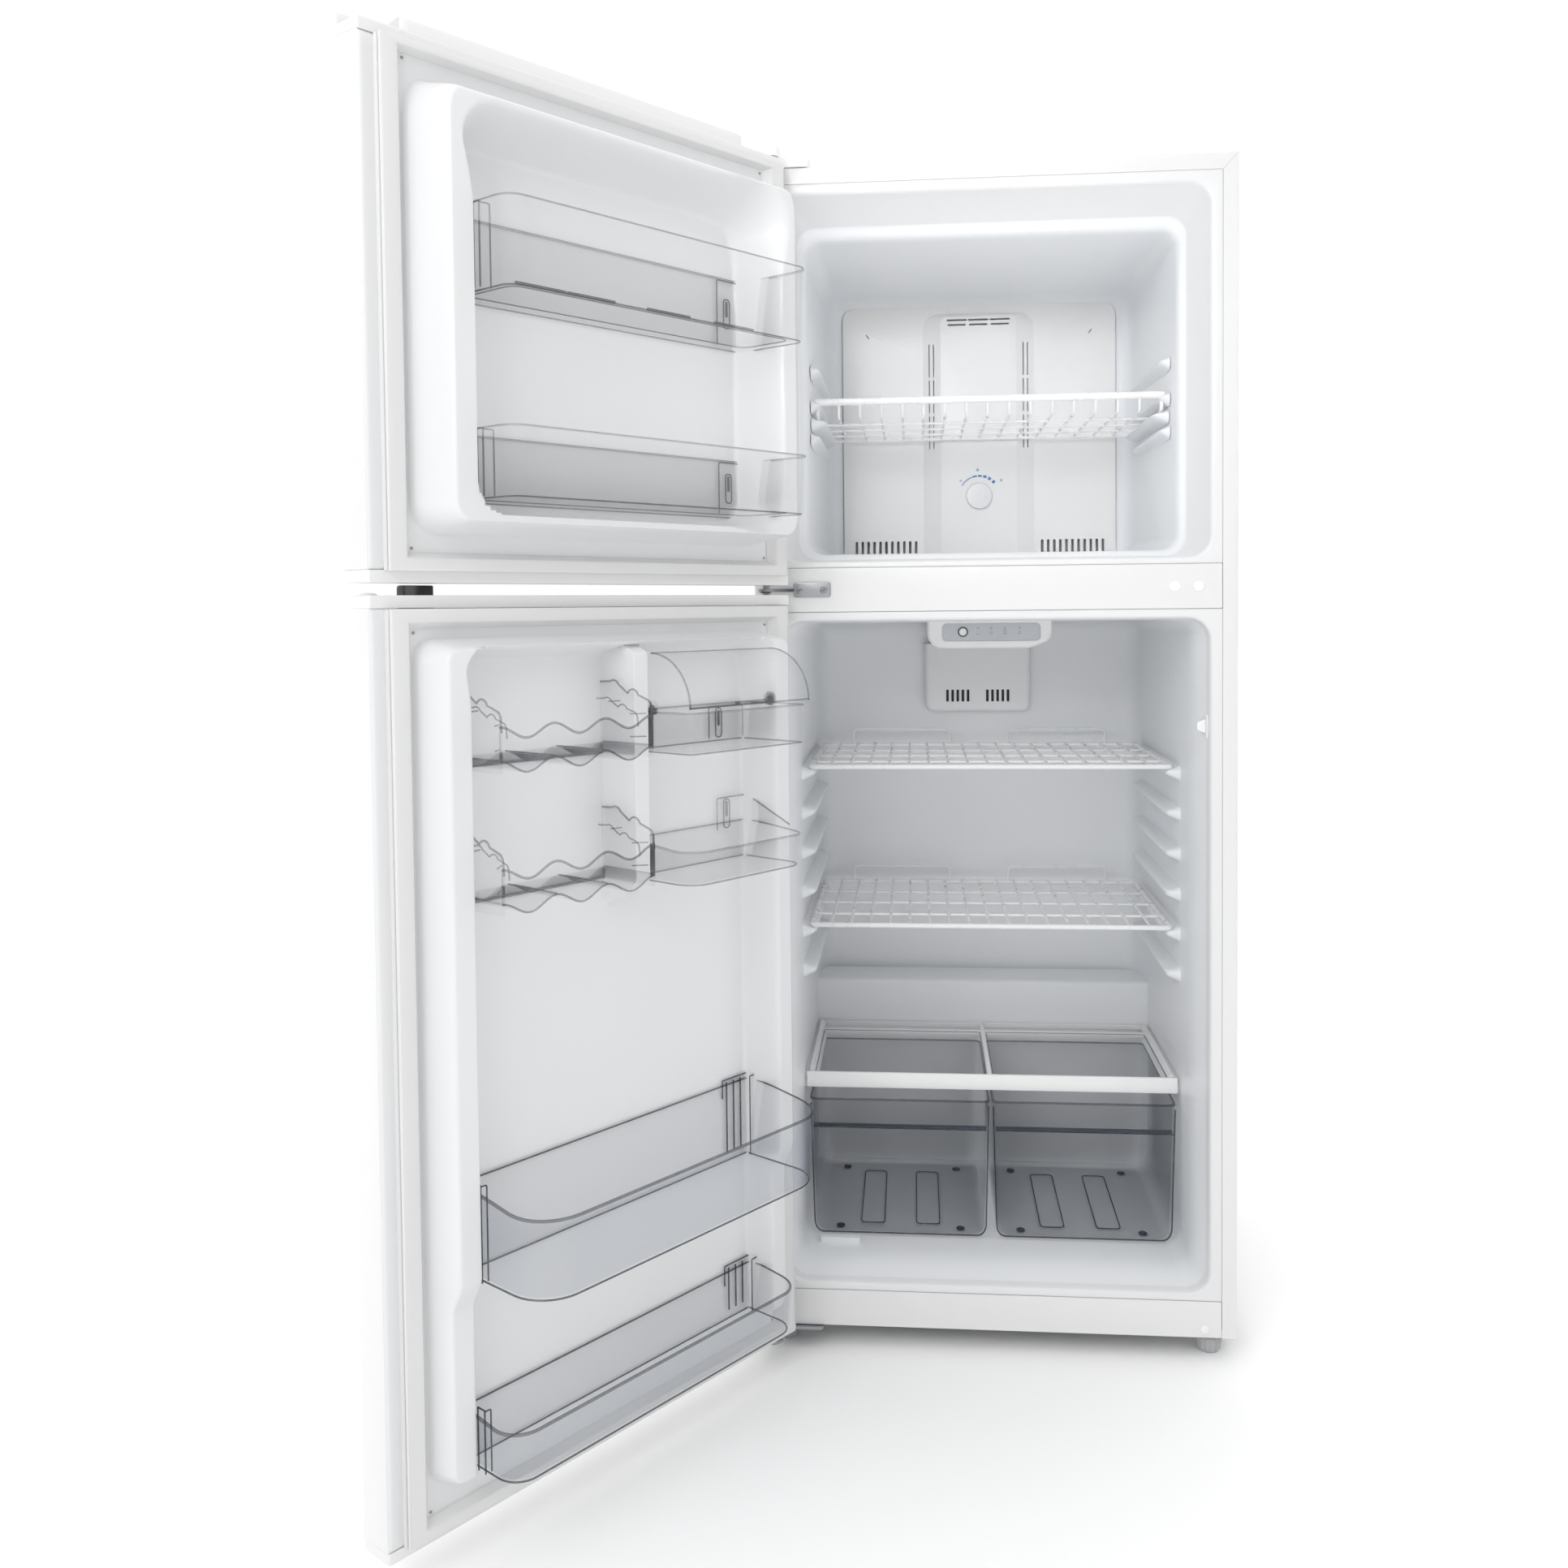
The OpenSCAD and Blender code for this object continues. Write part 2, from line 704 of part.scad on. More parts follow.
module door_liner(z) {
    box([-half_w + skin, half_w - skin], [door_in - liner_t, door_in], [z[0] + cap_h, z[1] - cap_h]);
}

// A grip bar standing off the door on two short posts.
module door_handle(z) {
    x = [handle_x - handle_w / 2, handle_x + handle_w / 2];
    translate([0, 0, z[0]]) linear_extrude(z[1] - z[0])
        round_rect(x, [door_out - 34, door_out - 20], 6);
    for (q = [z[0], z[1] - 34])
        translate([0, 0, q]) linear_extrude(34)
            round_rect([x[0] + 3, x[1] - 3], [door_out - 30, door_out], 4);
}

module freezer_door_panel() swung() color("whitesmoke") door_panel(fz_door_z);

module freezer_door_cap_top() swung() color("white") {
    z = fz_door_z[1];
    door_cap([z - cap_h, z], [z - cap_h - eps, z + eps]);
    translate([0, 0, z]) linear_extrude(14) {
        round_rect([-232, 252], [door_out + 8, door_in - 4], 12);
        round_rect([230, half_w - 2], [door_out, door_out + 9], 4);
    }
}

module freezer_door_cap_bottom() swung() color("white") {
    z = fz_door_z[0];
    door_cap([z, z + cap_h], [z - eps, z + cap_h + eps]);
}

module freezer_door_liner() swung() color("white") {
    door_liner(fz_door_z);
    for (s = [-1, 1])
        ridge(s, fz_ridge_in, fz_ridge_y, [1030, 1452]);
    for (z = [[1027, 1043], [1440, 1462]])
        box([13 - ridge_out, ridge_out - 13], [door_in, fz_ridge_y - 4], z);
}

module freezer_door_gasket() swung() color("gainsboro") {
    gasket(mouth_x + 17, mouth_x - 3, [991, 1490], [1008, 1478]);
}

module freezer_door_foam() swung() color("khaki") door_foam(fz_door_z);

module freezer_door_handle() swung() color("dimgray") door_handle([984, 1280]);

module fridge_door_panel() swung() color("whitesmoke") door_panel(fr_door_z);

module fridge_door_cap_top() swung() color("white") {
    z = fr_door_z[1];
    door_cap([z - cap_h, z], [z - cap_h - eps, z + eps]);
}

module fridge_door_cap_bottom() swung() color("white") {
    z = fr_door_z[0];
    door_cap([z, z + cap_h], [z - eps, z + cap_h + eps]);
}

module fridge_door_liner() swung() color("white") {
    door_liner(fr_door_z);
    for (s = [-1, 1]) {
        ridge(s, ridge_in, ridge_y, [290, 924]);
        ridge(s, ridge_in, ridge_y - 14, [99, 290]);
    }
    box([13 - ridge_out, ridge_out - 13], [door_in, ridge_y - 6], [912, 926]);
    translate([0, 0, 645]) linear_extrude(275)
        polygon([[-17, door_in], [-13, ridge_y], [8, ridge_y], [12, door_in]]);
}

module fridge_door_gasket() swung() color("gainsboro") {
    gasket(mouth_x + 17, mouth_x - 3, [50, 955], [66, 935]);
}

module fridge_door_foam() swung() color("khaki") door_foam(fr_door_z);

module fridge_door_handle() swung() color("dimgray") door_handle([600, 979]);

// ---- door bins ----

// Open bin with round inner corners, seen from above.
module bin(x, d, z, r) {
    difference() {
        translate([0, 0, z[0]]) linear_extrude(z[1] - z[0]) far_round(x, [bin_back, d], r);
        translate([0, 0, z[0] + bin_t]) linear_extrude(z[1] - z[0])
            far_round([x[0] + bin_t, x[1] - bin_t], [bin_back + bin_t, d - bin_t], r - bin_t);
    }
}

module freezer_bin_upper() swung() color("azure", 0.5) {
    bin([-fz_bin_x, fz_bin_x], freezer_bin_d, [1254, 1338], 20);
}

module freezer_bin_lower() swung() color("azure", 0.5) {
    bin([-fz_bin_x, fz_bin_x], freezer_bin_d, [1058, 1126], 20);
}

// Height of the wavy floor of a bottle rack above its base.
function wave(x) = 10 + 10 * cos((x - rack_in) / (bin_x - rack_in) * 1080);

module rack_band(base, lift, steps) {
    xs = [for (i = [0:steps]) rack_in + (bin_x - rack_in) * i / steps];
    polygon(concat([for (x = xs) [x, base + wave(x) + lift]],
        [for (i = [steps:-1:0]) [xs[i], base + wave(xs[i])]]));
}

// Rack of three round cradles with a wavy front wall, a back plate and raised ends.
module bottle_rack(base) {
    along_y([bin_back, rack_d]) rack_band(base, bin_t, 36);
    along_y([rack_d - bin_t, rack_d]) rack_band(base, 34, 36);
    box([rack_in, bin_x], [bin_back, bin_back + bin_t], [base, base + 60]);
    for (x = [[rack_in, rack_in + bin_t], [bin_x - bin_t, bin_x]])
        along_x(x) polygon([[bin_back, base], [rack_d, base], [rack_d, base + 40],
            [30, base + 78], [bin_back, base + 78]]);
}

module bottle_rack_upper() swung() color("azure", 0.5) bottle_rack(797);

module bottle_rack_lower() swung() color("azure", 0.5) bottle_rack(661);

module dairy_bin() swung() color("azure", 0.5) {
    a = dairy_x[0];
    b = dairy_x[1];
    bin(dairy_x, 90, [796, 842], 8);
    for (x = [[a, a + bin_t], [b - bin_t, b]])
        rod_x(x, lid_y, lid_z, 8);
    for (x = [[a - 2.8, a + 1], [b - 1, b + 2.8]])
        rod_x(x, lid_y, lid_z, 3);
}

// Quarter-round lid that turns about the pins on the bin's ends.
module dairy_lid() swung() color("azure", 0.5) {
    a = dairy_x[0] - run;
    b = dairy_x[1] + run;
    difference() {
        union() {
            intersection() {
                rod_x([a - bin_t, b + bin_t], lid_y, lid_z, lid_r);
                box([a - 10, b + 10], [lid_y, lid_y + lid_r + eps], [lid_z, lid_z + lid_r + eps]);
            }
            for (x = [[a - bin_t, a], [b, b + bin_t]])
                rod_x(x, lid_y, lid_z, 8);
        }
        rod_x([a, b], lid_y, lid_z, lid_r - bin_t);
        rod_x([a - 10, b + 10], lid_y, lid_z, 3.06);
    }
}

module short_bin() swung() color("azure", 0.5) {
    bin([-bin_x + 1, -19], 92, [655, 708], 30);
}

module large_bin() swung() color("slategray", 0.5) {
    bin([-bin_x, bin_x], large_bin_d, [293, 392], 50);
}

module lower_bin() swung() color("slategray", 0.5) {
    bin([-bin_x, bin_x], 72, [102, 168], 32);
}

outer_shell();
back_panel();
base_panel();
cabinet_foam();
freezer_liner();
fridge_liner();
mullion_rail();
bottom_rail();
hole_plugs();
top_hinge();
top_hinge_cover();
middle_hinge();
bottom_hinge();
hinge_screws();
evaporator_cover();
evaporator_coil();
fan_motor();
fan_blade();
air_duct_cover();
control_housing();
control_button();
light_switch_lever();
temperature_knob();
compressor();
condenser();
cord_gland();
roller_left();
roller_right();
foot_left();
foot_right();
freezer_shelf();
fridge_shelf_upper();
fridge_shelf_lower();
crisper_cover();
crisper_glass();
crisper_left();
crisper_right();
freezer_door_panel();
freezer_door_cap_top();
freezer_door_cap_bottom();
freezer_door_liner();
freezer_door_gasket();
freezer_door_foam();
freezer_door_handle();
freezer_bin_upper();
freezer_bin_lower();
fridge_door_panel();
fridge_door_cap_top();
fridge_door_cap_bottom();
fridge_door_liner();
fridge_door_gasket();
fridge_door_foam();
fridge_door_handle();
bottle_rack_upper();
bottle_rack_lower();
dairy_bin();
dairy_lid();
short_bin();
large_bin();
lower_bin();
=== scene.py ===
import math

import bmesh
import bpy
from mathutils import Matrix, Vector


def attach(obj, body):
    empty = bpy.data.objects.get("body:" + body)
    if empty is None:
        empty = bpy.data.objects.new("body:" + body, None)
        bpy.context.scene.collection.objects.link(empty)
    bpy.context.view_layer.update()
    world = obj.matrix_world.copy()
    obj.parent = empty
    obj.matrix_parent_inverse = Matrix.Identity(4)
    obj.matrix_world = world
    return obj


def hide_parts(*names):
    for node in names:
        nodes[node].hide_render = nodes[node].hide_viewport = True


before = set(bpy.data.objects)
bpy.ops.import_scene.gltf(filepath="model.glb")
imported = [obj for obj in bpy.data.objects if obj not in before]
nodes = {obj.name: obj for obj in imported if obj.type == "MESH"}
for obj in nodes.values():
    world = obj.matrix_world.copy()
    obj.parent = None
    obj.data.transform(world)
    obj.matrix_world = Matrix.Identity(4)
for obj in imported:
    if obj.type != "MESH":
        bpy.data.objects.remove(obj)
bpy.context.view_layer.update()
scene = bpy.context.scene

# ---- frames: shapes are drawn in millimetres, either in the cabinet's own frame
# (x from its middle, y back from its front face, z up) or in a closed door's place
MM = 0.001
FOOT_X, FOOT_Y = 270, 30
HINGE_X, HINGE_Y = -282, -36
OPEN_DEG = 126
# cabinet: half its width, its top and underside, half the width inside its front flanges
HALF_W, TOP_Z, BASE_Z, FLANGE_X = 300, 1503, 28, 280.7
# the rails across its front, as ranges of height
MIDDLE_RAIL, BOTTOM_RAIL = (946, 1002), (28, 75)
# fridge shelf supports: the highest, and the step down to the next
RIB_TOP, RIB_STEP = 732, 54
# doors: inner face of the lining's flat edge, half its width, outer face of the skin
LINING_Y, LINING_X, SKIN_Y = -12, 298.8, -60
# half the width over the raised ring of each lining, and how fast its outer flank rises
RING_X, RING_FLANK = 255, 12
# back plane of every bin, against the lining's flat field
BIN_BACK = -10.8
CAB = Matrix.Diagonal((MM, MM, MM, 1)) @ Matrix.Translation((-FOOT_X, -FOOT_Y, 0))
DOOR = (CAB @ Matrix.Translation((HINGE_X, HINGE_Y, 0))
        @ Matrix.Rotation(-math.radians(OPEN_DEG), 4, "Z")
        @ Matrix.Translation((-HINGE_X, -HINGE_Y, 0)))


# ---- node materials ----
# refractive index of clear styrene, and how far its colour drifts from place to place
CLEAR_IOR, CLEAR_TINT = 1.52, 0.04


def socket_set(node, values):
    for key, value in values.items():
        node.inputs[key].default_value = value


def noise(tree, coord, scale, detail=2.0, rough=0.5, squeeze=(1, 1, 1)):
    mapping = tree.nodes.new("ShaderNodeMapping")
    mapping.inputs["Scale"].default_value = squeeze
    tree.links.new(coord, mapping.inputs["Vector"])
    made = tree.nodes.new("ShaderNodeTexNoise")
    socket_set(made, {"Scale": scale, "Detail": detail, "Roughness": rough})
    tree.links.new(mapping.outputs["Vector"], made.inputs["Vector"])
    return made.outputs["Fac"]


def remap(tree, value, lo, hi, out_lo, out_hi):
    made = tree.nodes.new("ShaderNodeMapRange")
    socket_set(made, {"From Min": lo, "From Max": hi, "To Min": out_lo, "To Max": out_hi})
    tree.links.new(value, made.inputs["Value"])
    return made.outputs["Result"]


def mix_colour(tree, factor, low, high):
    made = tree.nodes.new("ShaderNodeMix")
    made.data_type = "RGBA"
    made.inputs[6].default_value = (*low, 1)
    made.inputs[7].default_value = (*high, 1)
    tree.links.new(factor, made.inputs[0])
    return made.outputs[2]


def material(name, colour, rough, tint=0.03, cloud=9.0, grain=900.0, bump=0.05, depth=0.0004,
             rough_span=0.08, metal=0.0, coat=0.0, coat_rough=0.1, squeeze=(1, 1, 1), spec=0.5):
    """Opaque finish: cloudy colour change, patchy roughness and a fine grain as bump."""
    made = bpy.data.materials.new(name)
    made.use_nodes = True
    tree = made.node_tree
    shader = tree.nodes["Principled BSDF"]
    socket_set(shader, {"Metallic": metal, "Coat Weight": coat, "Coat Roughness": coat_rough,
                        "Specular IOR Level": spec})
    coord = tree.nodes.new("ShaderNodeTexCoord").outputs["Object"]
    clouds = noise(tree, coord, cloud, 3.0, 0.55)
    low = tuple(c * (1 - tint) for c in colour)
    high = tuple(min(1.0, c * (1 + tint)) for c in colour)
    spread = remap(tree, clouds, 0.3, 0.7, 0.0, 1.0)
    tree.links.new(mix_colour(tree, spread, low, high), shader.inputs["Base Color"])
    patches = noise(tree, coord, cloud * 4.1, 4.0, 0.6)
    tree.links.new(remap(tree, patches, 0.25, 0.75, rough - rough_span, rough + rough_span),
                   shader.inputs["Roughness"])
    fine = noise(tree, coord, grain, 2.0, 0.5, squeeze)
    bumped = tree.nodes.new("ShaderNodeBump")
    socket_set(bumped, {"Strength": bump, "Distance": depth})
    tree.links.new(fine, bumped.inputs["Height"])
    tree.links.new(bumped.outputs["Normal"], shader.inputs["Normal"])
    return made


def clear_material(name, colour, rough, face, rim):
    """See-through plastic, denser where it is seen edge on, with faint flow marks."""
    made = bpy.data.materials.new(name)
    made.use_nodes = True
    tree = made.node_tree
    shader = tree.nodes["Principled BSDF"]
    socket_set(shader, {"IOR": CLEAR_IOR, "Specular IOR Level": 0.5})
    coord = tree.nodes.new("ShaderNodeTexCoord").outputs["Object"]
    clouds = noise(tree, coord, 11.0, 3.0, 0.5)
    low = tuple(c * (1 - CLEAR_TINT) for c in colour)
    high = tuple(min(1.0, c * (1 + CLEAR_TINT)) for c in colour)
    tree.links.new(mix_colour(tree, remap(tree, clouds, 0.3, 0.7, 0.0, 1.0), low, high),
                   shader.inputs["Base Color"])
    tree.links.new(remap(tree, noise(tree, coord, 30.0, 3.0, 0.5), 0.25, 0.75,
                         rough * 0.6, rough * 1.5), shader.inputs["Roughness"])
    edge = tree.nodes.new("ShaderNodeLayerWeight")
    edge.inputs["Blend"].default_value = 0.35
    tree.links.new(remap(tree, edge.outputs["Facing"], 0.0, 1.0, face, rim),
                   shader.inputs["Alpha"])
    bumped = tree.nodes.new("ShaderNodeBump")
    socket_set(bumped, {"Strength": 0.12, "Distance": 0.001})
    tree.links.new(noise(tree, coord, 40.0, 2.0, 0.4, (1, 1, 0.4)), bumped.inputs["Height"])
    tree.links.new(bumped.outputs["Normal"], shader.inputs["Normal"])
    return made


def grey(value, blue=0.0):
    return (value * (1 - blue), value * (1 - blue * 0.45), min(1.0, value * (1 + blue * 0.3)))


M = {
    "paint": material("paint_gloss_white", grey(0.83), 0.26, 0.001, 2.0, 750, 0.012, 0.0002,
                      0.006, coat=0.3, coat_rough=0.14),
    "rail": material("paint_rail_white", grey(0.83), 0.28, 0.001, 2.0, 750, 0.012, 0.0002, 0.006,
                     coat=0.2),
    # mouth: a darker copy of the liner white, painted shade on each liner's front step and bevel
    "mouth": material("liner_mouth_painted_shade", grey(0.83, 0.01), 0.30, 0.001, 2.0, 1100, 0.01,
                      0.0002, 0.008),
    "liner": material("liner_white", grey(0.93, 0.03), 0.32, 0.001, 2.0, 1100, 0.01, 0.0002,
                      0.008),
    "door_liner": material("door_liner_white", grey(0.80, 0.012), 0.30, 0.001, 2.0, 1100, 0.01,
                           0.0002, 0.008),
    "white": material("moulded_white", grey(0.92), 0.36, 0.002, 3.0, 1500, 0.012, 0.0002, 0.01),
    "cap": material("end_cap_white", grey(0.84), 0.36, 0.002, 3.0, 1500, 0.012, 0.0002, 0.01),
    "gasket": material("gasket_grey_white", grey(0.76), 0.48, 0.004, 6.0, 2200, 0.02, 0.0002,
                       0.02, spec=0.35),
    "wire": material("epoxy_wire_white", grey(0.93), 0.28, 0.004, 8.0, 800, 0.03, 0.0003, 0.02,
                     coat=0.2),
    "zinc": material("zinc_plate", (0.38, 0.39, 0.41), 0.34, 0.08, 60.0, 500, 0.08, 0.0003,
                     0.08, metal=1.0),
    "galvanised": material("galvanised_sheet", (0.56, 0.57, 0.58), 0.42, 0.12, 40.0, 260, 0.10,
                           0.0003, 0.12, metal=0.9),
    "fins": material("aluminium_fins", (0.66, 0.67, 0.68), 0.35, 0.06, 30.0, 600, 0.15, 0.0003,
                     0.1, metal=1.0, squeeze=(1, 1, 0.1)),
    "handle": material("handle_dark_grey", (0.055, 0.057, 0.060), 0.42, 0.08, 20.0, 1600, 0.25,
                       0.0004, 0.08),
    "dark": material("dark_plastic", (0.035, 0.035, 0.037), 0.45, 0.12, 25.0, 1300, 0.2, 0.0004,
                     0.1),
    "grey": material("grey_plastic", (0.48, 0.49, 0.50), 0.45, 0.04, 25.0, 1400, 0.15, 0.0004,
                     0.08),
    "knob": material("knob_pale", grey(0.88, 0.02), 0.3, 0.005, 30.0, 1500, 0.05, 0.0003, 0.05),
    "black_paint": material("compressor_black", (0.018, 0.018, 0.019), 0.38, 0.25, 30.0, 420,
                            0.35, 0.0006, 0.12, coat=0.3),
    "condenser": material("condenser_black", (0.022, 0.022, 0.022), 0.55, 0.2, 35.0, 700, 0.3,
                          0.0004, 0.12),
    "rubber": material("rubber_black", (0.02, 0.02, 0.02), 0.7, 0.15, 30.0, 1200, 0.25, 0.0004,
                       0.08, spec=0.3),
    "foam": material("foam_cream", (0.80, 0.71, 0.47), 0.85, 0.08, 35.0, 500, 0.8, 0.002, 0.08,
                     spec=0.2),
    "blue": material("dial_print_blue", (0.10, 0.26, 0.55), 0.4, 0.05, 60.0, 1500, 0.05, 0.0002,
                     0.05),
    "ink": material("panel_print_grey", (0.30, 0.32, 0.35), 0.45, 0.05, 60.0, 1500, 0.05,
                    0.0002, 0.05),
    "panel": material("control_panel_grey", grey(0.62, 0.05), 0.36, 0.02, 20.0, 1400, 0.08,
                      0.0003, 0.06),
    "copper": material("copper_tube", (0.62, 0.33, 0.20), 0.35, 0.12, 50.0, 600, 0.2, 0.0004,
                       0.12, metal=1.0),
    "clear": clear_material("clear_plastic", grey(0.50, 0.10), 0.06, 0.011, 0.15),
    # the two darker edge finishes are painted shade: laid on edges, ribs and outlines of
    # see-through parts, where the plastic looks dark edge on
    "clear_rim": clear_material("clear_plastic_rim", grey(0.16, 0.12), 0.10, 0.25, 0.60),
    "smoke": clear_material("smoke_plastic", (0.26, 0.31, 0.40), 0.07, 0.026, 0.17),
    "smoke_rim": clear_material("smoke_plastic_rim", grey(0.04, 0.3), 0.10, 0.55, 0.9),
    "pane": clear_material("shelf_pane", grey(0.55, 0.08), 0.05, 0.014, 0.14),
}

# Which finish each CAD node has
FINISH = {node: finish for finish, names in {
    "paint": "outer_shell freezer_door_panel fridge_door_panel",
    "galvanised": "back_panel base_panel",
    "foam": "cabinet_foam freezer_door_foam fridge_door_foam",
    "liner": "freezer_liner fridge_liner",
    "rail": "mullion_rail bottom_rail",
    "white": "hole_plugs top_hinge_cover evaporator_cover air_duct_cover control_housing "
        "control_button light_switch_lever crisper_cover",
    "zinc": "top_hinge middle_hinge bottom_hinge hinge_screws",
    "fins": "evaporator_coil",
    "dark": "fan_motor roller_left roller_right",
    "grey": "fan_blade foot_left foot_right",
    "knob": "temperature_knob",
    "black_paint": "compressor",
    "condenser": "condenser",
    "rubber": "cord_gland",
    "wire": "freezer_shelf fridge_shelf_upper fridge_shelf_lower",
    "pane": "crisper_glass",
    "smoke": "crisper_left crisper_right large_bin lower_bin",
    "cap": "freezer_door_cap_top freezer_door_cap_bottom fridge_door_cap_top "
        "fridge_door_cap_bottom",
    "door_liner": "freezer_door_liner fridge_door_liner",
    "gasket": "freezer_door_gasket fridge_door_gasket",
    "handle": "freezer_door_handle fridge_door_handle",
    "clear": "freezer_bin_upper freezer_bin_lower bottle_rack_upper bottle_rack_lower dairy_bin "
        "dairy_lid short_bin",
}.items() for node in names.split()}


# ---- mesh code ----
def loft(bm, rings, cap_start=True, cap_end=True, mats=None):
    """Skins rings of points that all have the same count. mats gives a material per band."""
    made = [[bm.verts.new(p) for p in ring] for ring in rings]
    n = len(made[0])
    for k in range(len(made) - 1):
        for i in range(n):
            j = (i + 1) % n
            face = bm.faces.new((made[k][i], made[k][j], made[k + 1][j], made[k + 1][i]))
            if mats:
                face.material_index = mats[k]
    if cap_start:
        face = bm.faces.new(made[0][::-1])
        face.material_index = mats[0] if mats else 0
    if cap_end:
        face = bm.faces.new(made[-1])
        face.material_index = mats[-1] if mats else 0
    return made


def arc(cx, cy, r, a0, a1, n):
    return [(cx + r * math.cos(math.radians(a0 + (a1 - a0) * i / n)),
             cy + r * math.sin(math.radians(a0 + (a1 - a0) * i / n))) for i in range(n + 1)]


def rr(a0, a1, b0, b1, r, n=6):
    """Rounded rectangle outline, anticlockwise. r is one radius or four, from low-low round."""
    r = r if isinstance(r, (tuple, list)) else (r,) * 4
    return (arc(a0 + r[0], b0 + r[0], r[0], 180, 270, n)
            + arc(a1 - r[1], b0 + r[1], r[1], 270, 360, n)
            + arc(a1 - r[2], b1 - r[2], r[2], 0, 90, n)
            + arc(a0 + r[3], b1 - r[3], r[3], 90, 180, n))


def lift(outline, axis, h):
    """Outline in two axes, placed at h along the third."""
    if axis == "x":
        return [(h, u, v) for u, v in outline]
    if axis == "y":
        return [(u, h, v) for u, v in outline]
    return [(u, v, h) for u, v in outline]


def prism(bm, outline, axis, h0, h1, mat=0):
    loft(bm, [lift(outline, axis, h0), lift(outline, axis, h1)], mats=[mat])


def soft_block(bm, axis, a, b, h, r, edge, n=5, both=True, mat=0):
    """Rounded-rectangle block whose face edges are rounded too, at both ends or at the first."""
    steps = [(edge * (1 - math.cos(t * math.pi / 6)), edge * (1 - math.sin(t * math.pi / 6)))
             for t in range(4)]
    sign = 1 if h[1] > h[0] else -1
    rings = [(h[0] + sign * d, i) for d, i in steps]
    rings += [(h[1] - sign * d, i) for d, i in reversed(steps)] if both else [(h[1], 0)]
    loft(bm, [lift(rr(a[0] + i, a[1] - i, b[0] + i, b[1] - i, max(r - i, 0.05), n), axis, d)
              for d, i in rings], mats=[mat] * (len(rings) - 1))


def round_path(points, r, n=5, closed=False):
    """Polyline with its corners rounded."""
    pts = [Vector(p) for p in points]
    out = []
    count = len(pts)
    for i, p in enumerate(pts):
        if not closed and i in (0, count - 1):
            out.append(p)
            continue
        a, b = (pts[i - 1] - p), (pts[(i + 1) % count] - p)
        cut = min(r, a.length * 0.49, b.length * 0.49)
        a, b = p + a.normalized() * cut, p + b.normalized() * cut
        for k in range(n + 1):
            t = k / n
            out.append(a.lerp(p, t).lerp(p.lerp(b, t), t))
    return out


def tube(bm, points, r, seg=10, closed=False, mat=0):
    """Round rod along a line of points, with rounded ends."""
    pts = [Vector(p) for p in points]
    count = len(pts)
    normal = None
    rings = []
    for i, p in enumerate(pts):
        ahead = pts[(i + 1) % count] if (closed or i < count - 1) else p
        behind = pts[i - 1] if (closed or i > 0) else p
        t = (ahead - behind).normalized()
        if normal is None:
            normal = t.cross(Vector((0, 0, 1)))
            if normal.length < 0.1:
                normal = t.cross(Vector((1, 0, 0)))
        normal = (normal - t * normal.dot(t)).normalized()
        side = t.cross(normal)
        rings.append([p + (normal * math.cos(a) + side * math.sin(a)) * r
                      for a in (2 * math.pi * k / seg for k in range(seg))])
    if not closed:
        first, last = (pts[1] - pts[0]).normalized(), (pts[-1] - pts[-2]).normalized()
        rings.insert(0, [pts[0] + (q - pts[0]) * 0.6 - first * r * 0.35 for q in rings[0]])
        rings.append([pts[-1] + (q - pts[-1]) * 0.6 + last * r * 0.35 for q in rings[-1]])
        loft(bm, rings, mats=[mat] * (len(rings) - 1))
    else:
        loft(bm, rings + [rings[0]], False, False, mats=[mat] * len(rings))
        bmesh.ops.remove_doubles(bm, verts=bm.verts[-2 * seg * len(rings):], dist=1e-5)


def lathe(bm, profile, at, axis="y", seg=40, mat=0):
    """Turned shape: profile of (radius, height along axis)."""
    rings = []
    for radius, h in profile:
        ring = []
        for k in range(seg):
            a = 2 * math.pi * k / seg
            u, v = radius * math.cos(a), radius * math.sin(a)
            ring.append({"x": (at[0] + h, at[1] + u, at[2] + v),
                         "y": (at[0] + u, at[1] + h, at[2] + v),
                         "z": (at[0] + u, at[1] + v, at[2] + h)}[axis])
        rings.append(ring)
    loft(bm, rings, mats=[mat] * (len(rings) - 1))


def surface(bm, us, vs, point):
    """Grid of quads through point(u, v)."""
    grid = [[bm.verts.new(point(u, v)) for u in us] for v in vs]
    for j in range(len(vs) - 1):
        for i in range(len(us) - 1):
            bm.faces.new((grid[j][i], grid[j][i + 1], grid[j + 1][i + 1], grid[j + 1][i]))
    return grid


def lines(lo, hi, fine, fine_step, step):
    """Grid lines from lo to hi, close together inside the fine ranges."""
    out, p = [lo], lo
    while p < hi - 1e-6:
        inside = any(a - 1e-6 <= p < b - 1e-6 for a, b in fine)
        stop = min([b for a, b in fine if a <= p < b - 1e-6] if inside
                   else [a for a, b in fine if a > p + 1e-6] + [hi])
        gap = fine_step if inside else step
        count = max(1, round((min(stop, hi) - p) / gap))
        width = (min(stop, hi) - p) / count
        out += [p + width * (k + 1) for k in range(count)]
        p = min(stop, hi)
    return out


def smooth(t):
    t = min(1.0, max(0.0, t))
    return t * t * (3 - 2 * t)


def inside_rr(x, z, a0, a1, b0, b1, r):
    """How far inside a rounded rectangle a point lies; negative outside."""
    qx, qz = abs(x - (a0 + a1) / 2) - (a1 - a0) / 2 + r, abs(z - (b0 + b1) / 2) - (b1 - b0) / 2 + r
    return r - math.hypot(max(qx, 0), max(qz, 0)) - min(max(qx, qz), 0)


def smooth_max(a, b, k):
    h = min(1.0, max(0.0, 0.5 + 0.5 * (a - b) / k))
    return b + (a - b) * h + k * h * (1 - h)


